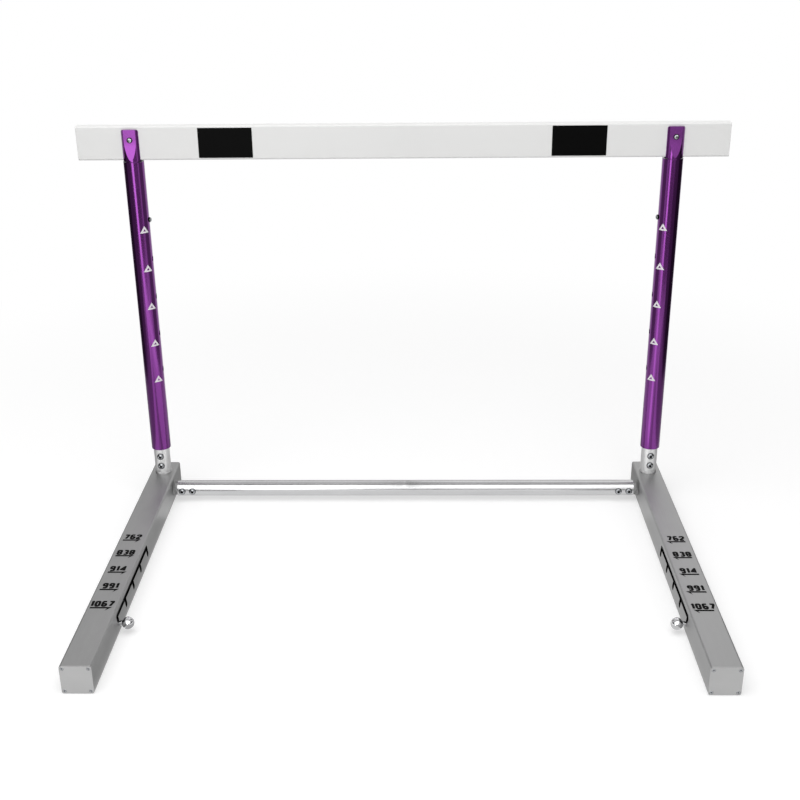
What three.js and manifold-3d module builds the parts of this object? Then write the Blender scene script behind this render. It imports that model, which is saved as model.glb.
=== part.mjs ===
// Track hurdle: a crossbar on two telescoping posts, carried by two box legs with sliding weights inside.
// Millimetres, +Z up. The crossbar runs along X, the legs reach towards -Y, and the origin is the
// centre of the footprint on the ground.
import * as THREE from "three";
import { mergeVertices } from "three/addons/utils/BufferGeometryUtils.js";
import Module from "manifold-3d";

const wasm = await Module();
wasm.setup();

// Layout of the whole hurdle
const LOWEST_SETTING = 762; // ground to the top of the crossbar
const HEIGHT_STEP = 76.2; // from one height setting to the next
const SETTING_COUNT = 5;
const POST_SPACING = 1000; // between the two post axes
const BASE_LENGTH = 700; // toe to heel, over the end plates
const POST_SETBACK = 40; // post axis to the heel end

// Clearances
const SEAT_GAP = 0.3; // round a piece that seats in or on another
const TELESCOPE_GAP = 0.325; // between the inner and the outer post
const CUT_OVERRUN = 5; // how far a cutting shape runs past what it cuts
const MERGE_DISTANCE = 1e-4;

// Facets
const TUBE_FACETS = 32;
const HOLE_FACETS = 16;
const PLATE_HOLE_FACETS = 12;
const SCREW_FACETS = 16;
const BALL_FACETS = 24;
const CORNER_FACETS = 4;

// Box leg
const LEG_SIZE = 50.8;
const LEG_WALL = 3;
const LEG_CORNER_RADIUS = 3.5;
const END_PLATE_THICKNESS = 3;
const PORT_INSET = 4.8; // centre of a screw port from each outer face of the leg
const PORT_RADIUS = 3.9;
const PORT_HOLE_RADIUS = 1.5;
const PORT_HOLE_DEPTH = 16;
const PLATE_HOLE_RADIUS = 1.9;
const PLATE_SINK_RADIUS = 3.1;

// Slot and notches in the inner wall of each leg
const SLOT_WIDTH = 9.5;
const SLOT_ABOVE_MIDDLE = 10.1; // middle of the long slot above the leg's mid-height
const NOTCH_DROP = 16.5; // from there down to the middle of a notch's round end
const NOTCH_PITCH = 55;
const NOTCH_SLANT = 18; // degrees off the vertical, lower end towards the heel
const FIRST_NOTCH_FROM_TOE = 162;

// Counterweight inside each leg
const WEIGHT_LENGTH = 100;
const WEIGHT_GAP = 0.5;
const WEIGHT_PORT_GAP = 0.6; // between the weight's cut corners and the screw ports
const GROOVE_DEPTH = 6; // neck of the T groove that guides the knob's stem

// Ball knob on its stem
const BALL_RADIUS = 10.4;
const BALL_GAP = 5.15; // between the leg and the ball
const BALL_BORE_DEPTH = 10;
const STEM_HEAD_RADIUS = 6.7;
const STEM_HEAD_THICKNESS = 4;

// Welded stubs that the inner posts and the base tube slip over
const STUB_LENGTH = 56;
const STUB_CHAMFER = 1.5;
const WELD_WIDTH = 3.2;
const WELD_HEIGHT = 3.4;
const FIRST_SCREW_FROM_LEG = 19.2;
const SCREW_PITCH = 21;
const SCREW_TIP_GAP = 1; // between a screw's tip and the end of its hole

// Base tube
const BASE_TUBE_WALL = 2;
const BASE_TUBE_FORWARD = 27.5; // tube axis in front of the post axes
const BASE_TUBE_WELD_GAP = 5.4; // bare stub between the weld and the tube's end

// Inner post
const INNER_POST_WALL = 2;
const INNER_POST_WELD_GAP = 0.8; // between the weld and the post's foot
const INNER_POST_HEADROOM = 13.7; // between the post's top and the spigot above it, at the lowest setting

// Outer post
const OUTER_POST_RADIUS = 19.05;
const OUTER_POST_WALL = 2.85;
const OUTER_POST_SCREW_GAP = 9; // between the upper screw's head and the post's foot
const TOP_HOLE_FROM_MOUTH = 112;
const BUTTON_HOLE_RADIUS = 5.1;

// Spring button
const BUTTON_HOLE_GAP = 0.35;
const BUTTON_PROUD = 4.5; // tip of the dome past the outer post
const BUTTON_DOME_HEIGHT = 3.2;
const BUTTON_FLANGE_RADIUS = 6;
const BUTTON_FLANGE_THICKNESS = 1.4;
const SPRING_WIDTH = 10;
const SPRING_LEAF = 1;
const SPRING_DROP = 62; // button axis to the middle of the spring's bend
const SPRING_RISE = 9; // the leaves' ends above the button axis
const SPRING_BEND_RADIUS = 4.5;

// Post head
const SPIGOT_LENGTH = 60; // below the outer post's mouth
const MOUTH_DEPTH = 10; // open depth behind the tongue
const TONGUE_BELOW_BAR_TOP = 6;
const TONGUE_THICKNESS = 4.9; // behind the flat front face
const TONGUE_CORNER_RADIUS = 4.5;
const SCARF_FOOT = 6; // outer post's mouth to the foot of the slanted cut
const SCARF_BOLT_GAP = 2.75; // between the top of the slanted cut and the bolt's head
const BOLT_FROM_TONGUE_TOP = 19;

// Crossbar
const BAR_OVERHANG = 100; // each end of the bar past its post's axis
const BAR_HEIGHT = 63;
const BAR_THICKNESS = 21;
const BAR_WALL = 2.5;
const BAR_EDGE_RADIUS = 3.5;
const BAR_MOUTH_GAP = 3; // underside of the bar above the outer post's mouth
const CAP_THICKNESS = 2.4;
const CAP_SPIGOT_LENGTH = 18;
const PANEL_LENGTH = 100;
const PANEL_THICKNESS = 0.5;
const PANEL_MARGIN = 4; // above and below a panel on the bar's face
const PANEL_FROM_POST = 125; // post axis to the near end of its panel

// Fasteners: button-head screws with a hexagon socket, washer and nut
const WASHER_RADIUS = 6;
const WASHER_THICKNESS = 1.6;
const NUT_ACROSS = 10;
const NUT_HEIGHT = 6;
const NUT_CHAMFER_SHARE = 0.12;
const BOLT_TAIL = 1.5; // bolt past its nut
const TUBE_SCREW = {
  headRadius: 7,
  headHeight: 4.4,
  rimHeight: 0.9,
  socketAcross: 5,
  socketDepth: 2.5,
  shankRadius: 4,
  shankLength: 15,
};
const BAR_BOLT = {
  headRadius: 5.25,
  headHeight: 3.3,
  rimHeight: 0.7,
  socketAcross: 4,
  socketDepth: 1.9,
  shankRadius: 3,
  shankLength: TONGUE_THICKNESS + BAR_THICKNESS + WASHER_THICKNESS + NUT_HEIGHT + 2 * SEAT_GAP + BOLT_TAIL,
};

// Places worked out from the sizes above
const HEEL_Y = BASE_LENGTH / 2;
const POST_Y = HEEL_Y - POST_SETBACK;
const LEG_EXTRUSION_LENGTH = BASE_LENGTH - 2 * END_PLATE_THICKNESS;
const LEG_FACE = LEG_SIZE / 2;
const STEM_RADIUS = SLOT_WIDTH / 2 - SEAT_GAP;
const SLOT_HEIGHT = LEG_SIZE / 2 + SLOT_ABOVE_MIDDLE;
const NOTCH_HEIGHT = SLOT_HEIGHT - NOTCH_DROP;
const NOTCH_LEAN = NOTCH_DROP * Math.tan(THREE.MathUtils.degToRad(NOTCH_SLANT));
const FIRST_NOTCH_Y = -HEEL_Y + FIRST_NOTCH_FROM_TOE;
const OUTER_POST_BORE = OUTER_POST_RADIUS - OUTER_POST_WALL;
const INNER_POST_RADIUS = OUTER_POST_BORE - TELESCOPE_GAP;
const INNER_POST_BORE = INNER_POST_RADIUS - INNER_POST_WALL;
const STUB_RADIUS = INNER_POST_BORE - SEAT_GAP;
const BASE_TUBE_BORE = STUB_RADIUS + SEAT_GAP;
const BASE_TUBE_RADIUS = BASE_TUBE_BORE + BASE_TUBE_WALL;
const BASE_TUBE_GAP = SEAT_GAP + WELD_HEIGHT + BASE_TUBE_WELD_GAP;
const BASE_TUBE_Y = POST_Y - BASE_TUBE_FORWARD;
const BASE_TUBE_LENGTH = POST_SPACING - LEG_SIZE - 2 * BASE_TUBE_GAP;
const SCREW_PLACES = [FIRST_SCREW_FROM_LEG, FIRST_SCREW_FROM_LEG + SCREW_PITCH];
const SCREW_HOLE_RADIUS = TUBE_SCREW.shankRadius + SEAT_GAP;
const SCREW_HOLE_START = INNER_POST_RADIUS + SEAT_GAP - TUBE_SCREW.shankLength - SCREW_TIP_GAP;
const BOLT_HOLE_RADIUS = BAR_BOLT.shankRadius + SEAT_GAP;
const BAR_LENGTH = POST_SPACING + 2 * BAR_OVERHANG;
const BAR_UNDERSIDE = LOWEST_SETTING - BAR_HEIGHT;
const BAR_CENTRE = LOWEST_SETTING - BAR_HEIGHT / 2;
const MOUTH = BAR_UNDERSIDE - BAR_MOUTH_GAP;
const OUTER_POST_FOOT = LEG_SIZE + SCREW_PLACES[1] + TUBE_SCREW.headRadius + OUTER_POST_SCREW_GAP;
const OUTER_POST_LENGTH = MOUTH - OUTER_POST_FOOT;
const INNER_POST_FOOT = LEG_SIZE + SEAT_GAP + WELD_HEIGHT + INNER_POST_WELD_GAP;
const INNER_POST_LENGTH = MOUTH - SPIGOT_LENGTH - INNER_POST_HEADROOM - INNER_POST_FOOT;
const BUTTON_HEIGHT = MOUTH - TOP_HOLE_FROM_MOUTH;
const BUTTON_RADIUS = BUTTON_HOLE_RADIUS - BUTTON_HOLE_GAP;
const BUTTON_FLANGE_REACH = Math.sqrt((INNER_POST_BORE - SEAT_GAP) ** 2 - BUTTON_FLANGE_RADIUS ** 2);
const TONGUE_TOP = LOWEST_SETTING - TONGUE_BELOW_BAR_TOP;
const TONGUE_BACK = BAR_THICKNESS / 2;
const TONGUE_FLAT = TONGUE_BACK + TONGUE_THICKNESS;
const BOLT_HEIGHT = TONGUE_TOP - BOLT_FROM_TONGUE_TOP;
const SCARF_TOP = BOLT_HEIGHT - BAR_BOLT.headRadius - SCARF_BOLT_GAP;

// Materials, with the colours of the real finishes
function finish(color, roughness, metalness) {
  return new THREE.MeshStandardMaterial({ color, roughness, metalness });
}
const satinAluminium = finish(0xa2a2a4, 0.42, 0.9);
const brightAluminium = finish(0xd4d4d6, 0.3, 0.9);
const purpleAnodised = finish(0x7a3588, 0.32, 0.75);
const whitePlastic = finish(0xe8e8e7, 0.45, 0);
const blackFilm = finish(0x0b0b0b, 0.4, 0);
const zincSteel = finish(0xb9bcc0, 0.28, 1);
const chromeSteel = finish(0xe2e4e6, 0.08, 1);
const castWeight = finish(0x56585a, 0.7, 0.6);
const springSteel = finish(0x6e7074, 0.35, 1);

// Solids: joining and cutting
function solidOf(geometry) {
  const bare = geometry.index ? geometry.toNonIndexed() : geometry.clone();
  bare.deleteAttribute("normal");
  bare.deleteAttribute("uv");
  const merged = mergeVertices(bare, MERGE_DISTANCE);
  const corners = merged.index.array;
  const triangles = [];
  for (let i = 0; i < corners.length; i += 3) {
    const [a, b, c] = corners.subarray(i, i + 3);
    const hasArea = a !== b && b !== c && c !== a;
    if (hasArea) triangles.push(a, b, c);
  }
  const mesh = new wasm.Mesh({
    numProp: 3,
    vertProperties: merged.attributes.position.array,
    triVerts: new Uint32Array(triangles),
  });
  return new wasm.Manifold(mesh);
}

function geometryOf(solid) {
  const mesh = solid.getMesh();
  const indexed = new THREE.BufferGeometry();
  indexed.setAttribute("position", new THREE.BufferAttribute(mesh.vertProperties, 3));
  indexed.setIndex(new THREE.BufferAttribute(mesh.triVerts, 1));
  const geometry = indexed.toNonIndexed();
  geometry.computeVertexNormals();
  return geometry;
}

function join(...geometries) {
  return geometryOf(geometries.map(solidOf).reduce((whole, part) => whole.add(part)));
}

function cut(geometry, ...tools) {
  return geometryOf(tools.reduce((rest, tool) => rest.subtract(solidOf(tool)), solidOf(geometry)));
}

function common(geometry, other) {
  return geometryOf(solidOf(geometry).intersect(solidOf(other)));
}

// Shapes that the pieces share. Each is made along +Z and then turned to lie along its own axis.
const X = new THREE.Vector3(1, 0, 0);
const Y = new THREE.Vector3(0, 1, 0);
const Z = new THREE.Vector3(0, 0, 1);

// A profile drawn in Y and Z, pulled along X.
function alongX(geometry) {
  return geometry.applyMatrix4(new THREE.Matrix4().makeBasis(Y, Z, X));
}

// A profile drawn in X and Z, pulled along Y from its heel end to its toe end.
function alongY(geometry) {
  return geometry.applyMatrix4(new THREE.Matrix4().makeBasis(X, Z, Y.clone().negate()));
}

// A piece made along +Z, turned to face the toe end.
function facingToe(geometry) {
  return geometry.rotateX(Math.PI / 2);
}

// A piece made along +Z, turned to face the middle of the hurdle from the left post.
function facingIn(geometry) {
  return geometry.rotateY(Math.PI / 2);
}

// Pulls a flat shape along +Z. Each of its arcs gets the given number of facets.
function pull(shape, depth, facets = CORNER_FACETS) {
  return new THREE.ExtrudeGeometry(shape, { depth, bevelEnabled: false, curveSegments: facets / 2 });
}

function rod(radius, length, facets = HOLE_FACETS) {
  const cylinder = new THREE.CylinderGeometry(radius, radius, length, facets);
  return cylinder.rotateX(Math.PI / 2).translate(0, 0, length / 2);
}

function tube(radius, bore, length, facets = TUBE_FACETS) {
  const ring = new THREE.Shape().absarc(0, 0, radius, 0, 2 * Math.PI);
  ring.holes.push(new THREE.Path().absarc(0, 0, bore, 0, 2 * Math.PI));
  return pull(ring, length, facets);
}

function revolve(profile, facets) {
  const points = profile.map(([radius, height]) => new THREE.Vector2(radius, height));
  return new THREE.LatheGeometry(points, facets).rotateX(Math.PI / 2);
}

// The profile of a dome that starts at the given height and closes on the axis.
function quarterArc(start, radius, height) {
  const crown = new THREE.EllipseCurve(0, start, radius, height, 0, Math.PI / 2);
  const points = crown.getPoints(CORNER_FACETS).map((p) => [p.x, p.y]);
  points[points.length - 1][0] = 0;
  return points;
}

function roundedRectangle(width, height, radius) {
  const [x, y] = [width / 2 - radius, height / 2 - radius];
  const outline = new THREE.Shape();
  outline.absarc(x, y, radius, 0, Math.PI / 2);
  outline.absarc(-x, y, radius, Math.PI / 2, Math.PI);
  outline.absarc(-x, -y, radius, Math.PI, 1.5 * Math.PI);
  outline.absarc(x, -y, radius, 1.5 * Math.PI, 2 * Math.PI);
  outline.closePath();
  return outline;
}

function hexagon(across) {
  const corner = across / Math.sqrt(3);
  const points = [0, 1, 2, 3, 4, 5].map(
    (i) => new THREE.Vector2(corner * Math.cos((i * Math.PI) / 3), corner * Math.sin((i * Math.PI) / 3)),
  );
  return new THREE.Shape(points);
}

// A slot with round ends from one point of the leg's side wall to another, cut along X from the given x.
function slotCutter(from, to, width, depth, start) {
  const run = to.clone().sub(from);
  const half = run.length() / 2;
  const outline = new THREE.Shape();
  outline.absarc(half, 0, width / 2, -Math.PI / 2, Math.PI / 2);
  outline.absarc(-half, 0, width / 2, Math.PI / 2, 1.5 * Math.PI);
  outline.closePath();
  const flat = pull(outline, depth, HOLE_FACETS / 2).rotateZ(run.angle());
  const middle = from.clone().add(to).divideScalar(2);
  return alongX(flat.translate(middle.x, middle.y, start));
}

// Fasteners
function buttonScrew(size) {
  const { headRadius, headHeight, rimHeight, shankRadius, shankLength } = size;
  const dome = quarterArc(rimHeight, headRadius, headHeight - rimHeight);
  const profile = [[0, -shankLength], [shankRadius, -shankLength], [shankRadius, 0], [headRadius, 0], ...dome];
  const socket = pull(hexagon(size.socketAcross), size.socketDepth + CUT_OVERRUN);
  return cut(revolve(profile, SCREW_FACETS), socket.translate(0, 0, headHeight - size.socketDepth));
}

function hexNut() {
  const chamfer = NUT_ACROSS * NUT_CHAMFER_SHARE;
  const corner = NUT_ACROSS / Math.sqrt(3);
  const crowned = [
    [0, 0],
    [corner, 0],
    [corner, NUT_HEIGHT - chamfer],
    [corner - chamfer, NUT_HEIGHT],
    [0, NUT_HEIGHT],
  ];
  const blank = common(pull(hexagon(NUT_ACROSS), NUT_HEIGHT), revolve(crowned, TUBE_FACETS));
  const bore = rod(BOLT_HOLE_RADIUS, NUT_HEIGHT + 2 * CUT_OVERRUN);
  return cut(blank, bore.translate(0, 0, -CUT_OVERRUN));
}

// Legs. Every piece of one side is modelled about its post's axis, with +X towards the middle.
const PORT_PLACES = [-1, 1].flatMap((x) =>
  [-1, 1].map((z) => [x * (LEG_FACE - PORT_INSET), LEG_FACE + z * (LEG_FACE - PORT_INSET)]),
);

function notchPoints(index) {
  const y = FIRST_NOTCH_Y + index * NOTCH_PITCH;
  return [new THREE.Vector2(y - NOTCH_LEAN, SLOT_HEIGHT), new THREE.Vector2(y, NOTCH_HEIGHT)];
}

function knobSlotCutters() {
  const depth = LEG_WALL + 2 * CUT_OVERRUN;
  const start = LEG_FACE - LEG_WALL - CUT_OVERRUN;
  const notches = Array.from({ length: SETTING_COUNT }, (_, i) => notchPoints(i));
  const longSlot = [notches[0][0], notches[SETTING_COUNT - 1][0]];
  return [longSlot, ...notches].map(([from, to]) => slotCutter(from, to, SLOT_WIDTH, depth, start));
}

// The leg's square outline with its rounded corners, pulled along Y from a heel face at y = 0.
function legBlock(length) {
  const outline = roundedRectangle(LEG_SIZE, LEG_SIZE, LEG_CORNER_RADIUS);
  return alongY(pull(outline, length)).translate(0, 0, LEG_FACE);
}

// The hollow square with a round screw port in each corner, trimmed to the outline.
function legExtrusion() {
  const cavity = LEG_SIZE - 2 * LEG_WALL;
  const inside = new THREE.BoxGeometry(cavity, LEG_EXTRUSION_LENGTH + 2 * CUT_OVERRUN, cavity);
  const box = cut(legBlock(LEG_EXTRUSION_LENGTH), inside.translate(0, -LEG_EXTRUSION_LENGTH / 2, LEG_FACE));
  const ports = PORT_PLACES.map(([x, z]) =>
    facingToe(rod(PORT_RADIUS, LEG_EXTRUSION_LENGTH)).translate(x, 0, z),
  );
  const extrusion = common(join(box, ...ports), legBlock(LEG_EXTRUSION_LENGTH));
  return extrusion.translate(0, LEG_EXTRUSION_LENGTH / 2, 0);
}

function leg() {
  const holes = PORT_PLACES.flatMap(([x, z]) =>
    [LEG_EXTRUSION_LENGTH / 2 + CUT_OVERRUN, PORT_HOLE_DEPTH - LEG_EXTRUSION_LENGTH / 2].map((y) =>
      facingToe(rod(PORT_HOLE_RADIUS, PORT_HOLE_DEPTH + CUT_OVERRUN, HOLE_FACETS / 2)).translate(x, y, z),
    ),
  );
  return cut(legExtrusion(), ...knobSlotCutters(), ...holes);
}

// An end plate, with its outer face at y = 0 and facing the toe end.
function endPlate() {
  const sink = END_PLATE_THICKNESS - (PLATE_SINK_RADIUS - PLATE_HOLE_RADIUS);
  const countersunk = [
    [0, -CUT_OVERRUN],
    [PLATE_HOLE_RADIUS, -CUT_OVERRUN],
    [PLATE_HOLE_RADIUS, sink],
    [PLATE_SINK_RADIUS, END_PLATE_THICKNESS],
    [PLATE_SINK_RADIUS, END_PLATE_THICKNESS + CUT_OVERRUN],
    [0, END_PLATE_THICKNESS + CUT_OVERRUN],
  ];
  const holes = PORT_PLACES.map(([x, z]) =>
    facingToe(revolve(countersunk, PLATE_HOLE_FACETS)).translate(x, 0, z),
  );
  return cut(legBlock(END_PLATE_THICKNESS), ...holes).translate(0, END_PLATE_THICKNESS, 0);
}

// A stub welded to the leg, standing along +Z off the leg's face, drilled for two screws from the toe side.
function weldedStub() {
  const profile = [
    [0, 0],
    [STUB_RADIUS + WELD_WIDTH, 0],
    [STUB_RADIUS, WELD_HEIGHT],
    [STUB_RADIUS, STUB_LENGTH - STUB_CHAMFER],
    [STUB_RADIUS - STUB_CHAMFER, STUB_LENGTH],
    [0, STUB_LENGTH],
  ];
  return cut(revolve(profile, TUBE_FACETS), ...SCREW_PLACES.map((place) => screwHole(place - SEAT_GAP)));
}

// A hole from the toe side into a tube or stub that stands along +Z, at the given height.
function screwHole(height) {
  const drill = rod(SCREW_HOLE_RADIUS, BASE_TUBE_RADIUS + CUT_OVERRUN - SCREW_HOLE_START);
  return facingToe(drill.translate(0, 0, SCREW_HOLE_START)).translate(0, 0, height);
}

// A screw of a stub, that far from the leg, with its head on a tube of the given radius.
function tubeScrew(fromLeg, tubeRadius) {
  return facingToe(buttonScrew(TUBE_SCREW)).translate(0, -tubeRadius - SEAT_GAP, fromLeg);
}

function innerPost() {
  const button = facingIn(rod(BUTTON_HOLE_RADIUS, INNER_POST_RADIUS + CUT_OVERRUN));
  return cut(
    tube(INNER_POST_RADIUS, INNER_POST_BORE, INNER_POST_LENGTH),
    ...SCREW_PLACES.map((place) => screwHole(LEG_SIZE + place - INNER_POST_FOOT)),
    button.translate(0, 0, BUTTON_HEIGHT - INNER_POST_FOOT),
  );
}

function baseTube() {
  const holes = [1, -1].flatMap((end) =>
    SCREW_PLACES.map((place) => screwHole(end * (POST_SPACING / 2 - LEG_FACE - place))),
  );
  const centred = tube(BASE_TUBE_RADIUS, BASE_TUBE_BORE, BASE_TUBE_LENGTH);
  return facingIn(cut(centred.translate(0, 0, -BASE_TUBE_LENGTH / 2), ...holes));
}

function outerPost() {
  const holes = Array.from({ length: SETTING_COUNT }, (_, i) => {
    const hole = facingIn(rod(BUTTON_HOLE_RADIUS, OUTER_POST_RADIUS + CUT_OVERRUN));
    return hole.translate(0, 0, OUTER_POST_LENGTH - TOP_HOLE_FROM_MOUTH - i * HEIGHT_STEP);
  });
  return cut(tube(OUTER_POST_RADIUS, OUTER_POST_BORE, OUTER_POST_LENGTH), ...holes);
}

// Post head: a spigot in the outer post, and a tongue that keeps only the front of the post's round,
// with a slanted cut that runs up into a flat face for the bolt.
function tongueBlock(radius, from, to) {
  const round = rod(radius, to - from, TUBE_FACETS).translate(0, 0, from);
  const front = new THREE.BoxGeometry(2 * radius, radius, to - from);
  return common(round, front.translate(0, -TONGUE_BACK - radius / 2, (from + to) / 2));
}

function scarfCutter() {
  const side = new THREE.Shape();
  side.moveTo(-OUTER_POST_RADIUS, MOUTH + SCARF_FOOT);
  side.lineTo(-TONGUE_FLAT, SCARF_TOP);
  side.lineTo(-TONGUE_FLAT, TONGUE_TOP + CUT_OVERRUN);
  side.lineTo(-OUTER_POST_RADIUS - CUT_OVERRUN, TONGUE_TOP + CUT_OVERRUN);
  side.lineTo(-OUTER_POST_RADIUS - CUT_OVERRUN, MOUTH + SCARF_FOOT);
  return alongX(pull(side, 2 * OUTER_POST_RADIUS)).translate(-OUTER_POST_RADIUS, 0, 0);
}

function roundedTongueOutline() {
  const halfWidth = Math.sqrt(OUTER_POST_RADIUS ** 2 - TONGUE_BACK ** 2);
  const height = 2 * (TONGUE_TOP - MOUTH);
  const outline = roundedRectangle(2 * halfWidth, height, TONGUE_CORNER_RADIUS);
  return alongY(pull(outline, 2 * OUTER_POST_RADIUS)).translate(0, OUTER_POST_RADIUS, MOUTH);
}

function postHead() {
  const spigotRadius = OUTER_POST_BORE - SEAT_GAP;
  const spigot = rod(spigotRadius, SPIGOT_LENGTH - MOUTH_DEPTH, TUBE_FACETS);
  const root = tongueBlock(spigotRadius, MOUTH - MOUTH_DEPTH, MOUTH);
  const tongue = common(tongueBlock(OUTER_POST_RADIUS, MOUTH, TONGUE_TOP), roundedTongueOutline());
  const boltHole = facingToe(rod(BOLT_HOLE_RADIUS, OUTER_POST_RADIUS)).translate(0, 0, BOLT_HEIGHT);
  return cut(join(spigot.translate(0, 0, MOUTH - SPIGOT_LENGTH), root, tongue), scarfCutter(), boltHole);
}

// Spring button and its V spring, pressing outwards through the inner and the outer post
function heightButton() {
  const tip = OUTER_POST_RADIUS + BUTTON_PROUD;
  const flangeBack = BUTTON_FLANGE_REACH - BUTTON_FLANGE_THICKNESS;
  const dome = quarterArc(tip - BUTTON_DOME_HEIGHT, BUTTON_RADIUS, BUTTON_DOME_HEIGHT);
  const profile = [
    [0, flangeBack],
    [BUTTON_FLANGE_RADIUS, flangeBack],
    [BUTTON_FLANGE_RADIUS, BUTTON_FLANGE_REACH],
    [BUTTON_RADIUS, BUTTON_FLANGE_REACH],
    ...dome,
  ];
  return facingIn(revolve(profile, SCREW_FACETS)).translate(0, 0, BUTTON_HEIGHT);
}

function buttonSpring() {
  const pressed = BUTTON_FLANGE_REACH - BUTTON_FLANGE_THICKNESS - SEAT_GAP;
  const braced = -Math.sqrt((INNER_POST_BORE - SEAT_GAP) ** 2 - (SPRING_WIDTH / 2) ** 2);
  const bend = (pressed + braced) / 2;
  const outline = new THREE.Shape();
  outline.moveTo(pressed, SPRING_RISE);
  outline.lineTo(pressed - SPRING_LEAF, SPRING_RISE);
  outline.absarc(bend, -SPRING_DROP, SPRING_BEND_RADIUS - SPRING_LEAF, 0, -Math.PI, true);
  outline.lineTo(braced + SPRING_LEAF, SPRING_RISE);
  outline.lineTo(braced, SPRING_RISE);
  outline.absarc(bend, -SPRING_DROP, SPRING_BEND_RADIUS, -Math.PI, 0, false);
  outline.closePath();
  const leaf = alongY(pull(outline, SPRING_WIDTH, HOLE_FACETS / 2));
  return leaf.translate(0, SPRING_WIDTH / 2, BUTTON_HEIGHT);
}

// Counterweight: a bar that fills the leg, with a slanted T groove for the knob's stem
function weight() {
  const half = LEG_FACE - LEG_WALL - WEIGHT_GAP;
  const chamfer = 2 * (PORT_INSET - LEG_WALL - WEIGHT_GAP) + Math.SQRT2 * (PORT_RADIUS + WEIGHT_PORT_GAP);
  const cornerOut = half - chamfer;
  const section = new THREE.Shape();
  section.moveTo(half, -cornerOut);
  section.lineTo(half, cornerOut);
  section.lineTo(cornerOut, half);
  section.lineTo(-cornerOut, half);
  section.lineTo(-half, cornerOut);
  section.lineTo(-half, -cornerOut);
  section.lineTo(-cornerOut, -half);
  section.lineTo(cornerOut, -half);
  section.closePath();
  const block = alongY(pull(section, WEIGHT_LENGTH)).translate(0, FIRST_NOTCH_Y + WEIGHT_LENGTH / 2, LEG_FACE);
  const bottom = new THREE.Vector2(FIRST_NOTCH_Y, NOTCH_HEIGHT);
  const rise = LEG_SIZE - NOTCH_HEIGHT;
  const top = new THREE.Vector2(FIRST_NOTCH_Y - (rise * NOTCH_LEAN) / NOTCH_DROP, LEG_SIZE);
  const pocketWidth = 2 * (STEM_HEAD_RADIUS + SEAT_GAP);
  const pocketDepth = STEM_HEAD_THICKNESS + 2 * SEAT_GAP;
  const neckStart = half - GROOVE_DEPTH;
  const neck = slotCutter(bottom, top, SLOT_WIDTH, GROOVE_DEPTH + CUT_OVERRUN, neckStart);
  const pocket = slotCutter(bottom, top, pocketWidth, pocketDepth, neckStart - pocketDepth);
  return cut(block, neck, pocket);
}

// Stem and ball of the knob, both standing along +X out of the weight's groove
function knobStem() {
  const headFace = LEG_FACE - LEG_WALL - WEIGHT_GAP - GROOVE_DEPTH - SEAT_GAP;
  const tip = LEG_FACE + BALL_GAP + BALL_BORE_DEPTH - SEAT_GAP;
  const profile = [
    [0, headFace - STEM_HEAD_THICKNESS],
    [STEM_HEAD_RADIUS, headFace - STEM_HEAD_THICKNESS],
    [STEM_HEAD_RADIUS, headFace],
    [STEM_RADIUS, headFace],
    [STEM_RADIUS, tip],
    [0, tip],
  ];
  return facingIn(revolve(profile, SCREW_FACETS)).translate(0, FIRST_NOTCH_Y, NOTCH_HEIGHT);
}

function knobBall() {
  const bore = STEM_RADIUS + SEAT_GAP;
  const faceAngle = Math.acos(bore / BALL_RADIUS);
  const arc = new THREE.EllipseCurve(0, 0, BALL_RADIUS, BALL_RADIUS, -faceAngle, Math.PI / 2);
  const skin = arc.getPoints(BALL_FACETS / 2).map((p) => [p.x, p.y]);
  skin[skin.length - 1][0] = 0;
  const boreEnd = BALL_BORE_DEPTH - BALL_RADIUS;
  const profile = [[0, boreEnd], [bore, boreEnd], ...skin];
  const ball = facingIn(revolve(profile, BALL_FACETS));
  return ball.translate(LEG_FACE + BALL_GAP + BALL_RADIUS, FIRST_NOTCH_Y, NOTCH_HEIGHT);
}

// Crossbar, its end caps and the black panels on its front face
function barProfile(inset) {
  const [depth, height] = [BAR_THICKNESS - 2 * inset, BAR_HEIGHT - 2 * inset];
  const radius = Math.max(BAR_EDGE_RADIUS - inset, BAR_EDGE_RADIUS / CORNER_FACETS);
  return roundedRectangle(depth, height, radius);
}

function crossbar() {
  const length = BAR_LENGTH - 2 * CAP_THICKNESS;
  const outside = pull(barProfile(0), length);
  const hollow = pull(barProfile(BAR_WALL), length + 2 * CUT_OVERRUN).translate(0, 0, -CUT_OVERRUN);
  const bar = alongX(cut(outside, hollow)).translate(-length / 2, 0, BAR_CENTRE);
  const holes = [-1, 1].map((side) => {
    const hole = facingToe(rod(BOLT_HOLE_RADIUS, BAR_THICKNESS + 2 * CUT_OVERRUN));
    return hole.translate((side * POST_SPACING) / 2, BAR_THICKNESS / 2 + CUT_OVERRUN, BOLT_HEIGHT);
  });
  return cut(bar, ...holes);
}

function endCap() {
  const cover = pull(barProfile(0), CAP_THICKNESS);
  const spigot = pull(barProfile(BAR_WALL + SEAT_GAP), CAP_SPIGOT_LENGTH + CAP_THICKNESS);
  return alongX(join(cover, spigot)).translate(-BAR_OVERHANG, 0, BAR_CENTRE);
}

function blackPanel() {
  const panel = new THREE.BoxGeometry(PANEL_LENGTH, PANEL_THICKNESS, BAR_HEIGHT - 2 * PANEL_MARGIN);
  const middle = PANEL_FROM_POST + PANEL_LENGTH / 2;
  return panel.translate(middle, -(BAR_THICKNESS + PANEL_THICKNESS) / 2, BAR_CENTRE);
}

function barBolt() {
  return facingToe(buttonScrew(BAR_BOLT)).translate(0, -TONGUE_FLAT - SEAT_GAP, BOLT_HEIGHT);
}

function washer() {
  const ring = facingToe(tube(WASHER_RADIUS, BOLT_HOLE_RADIUS, WASHER_THICKNESS, HOLE_FACETS));
  return ring.translate(0, BAR_THICKNESS / 2 + WASHER_THICKNESS, BOLT_HEIGHT);
}

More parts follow.
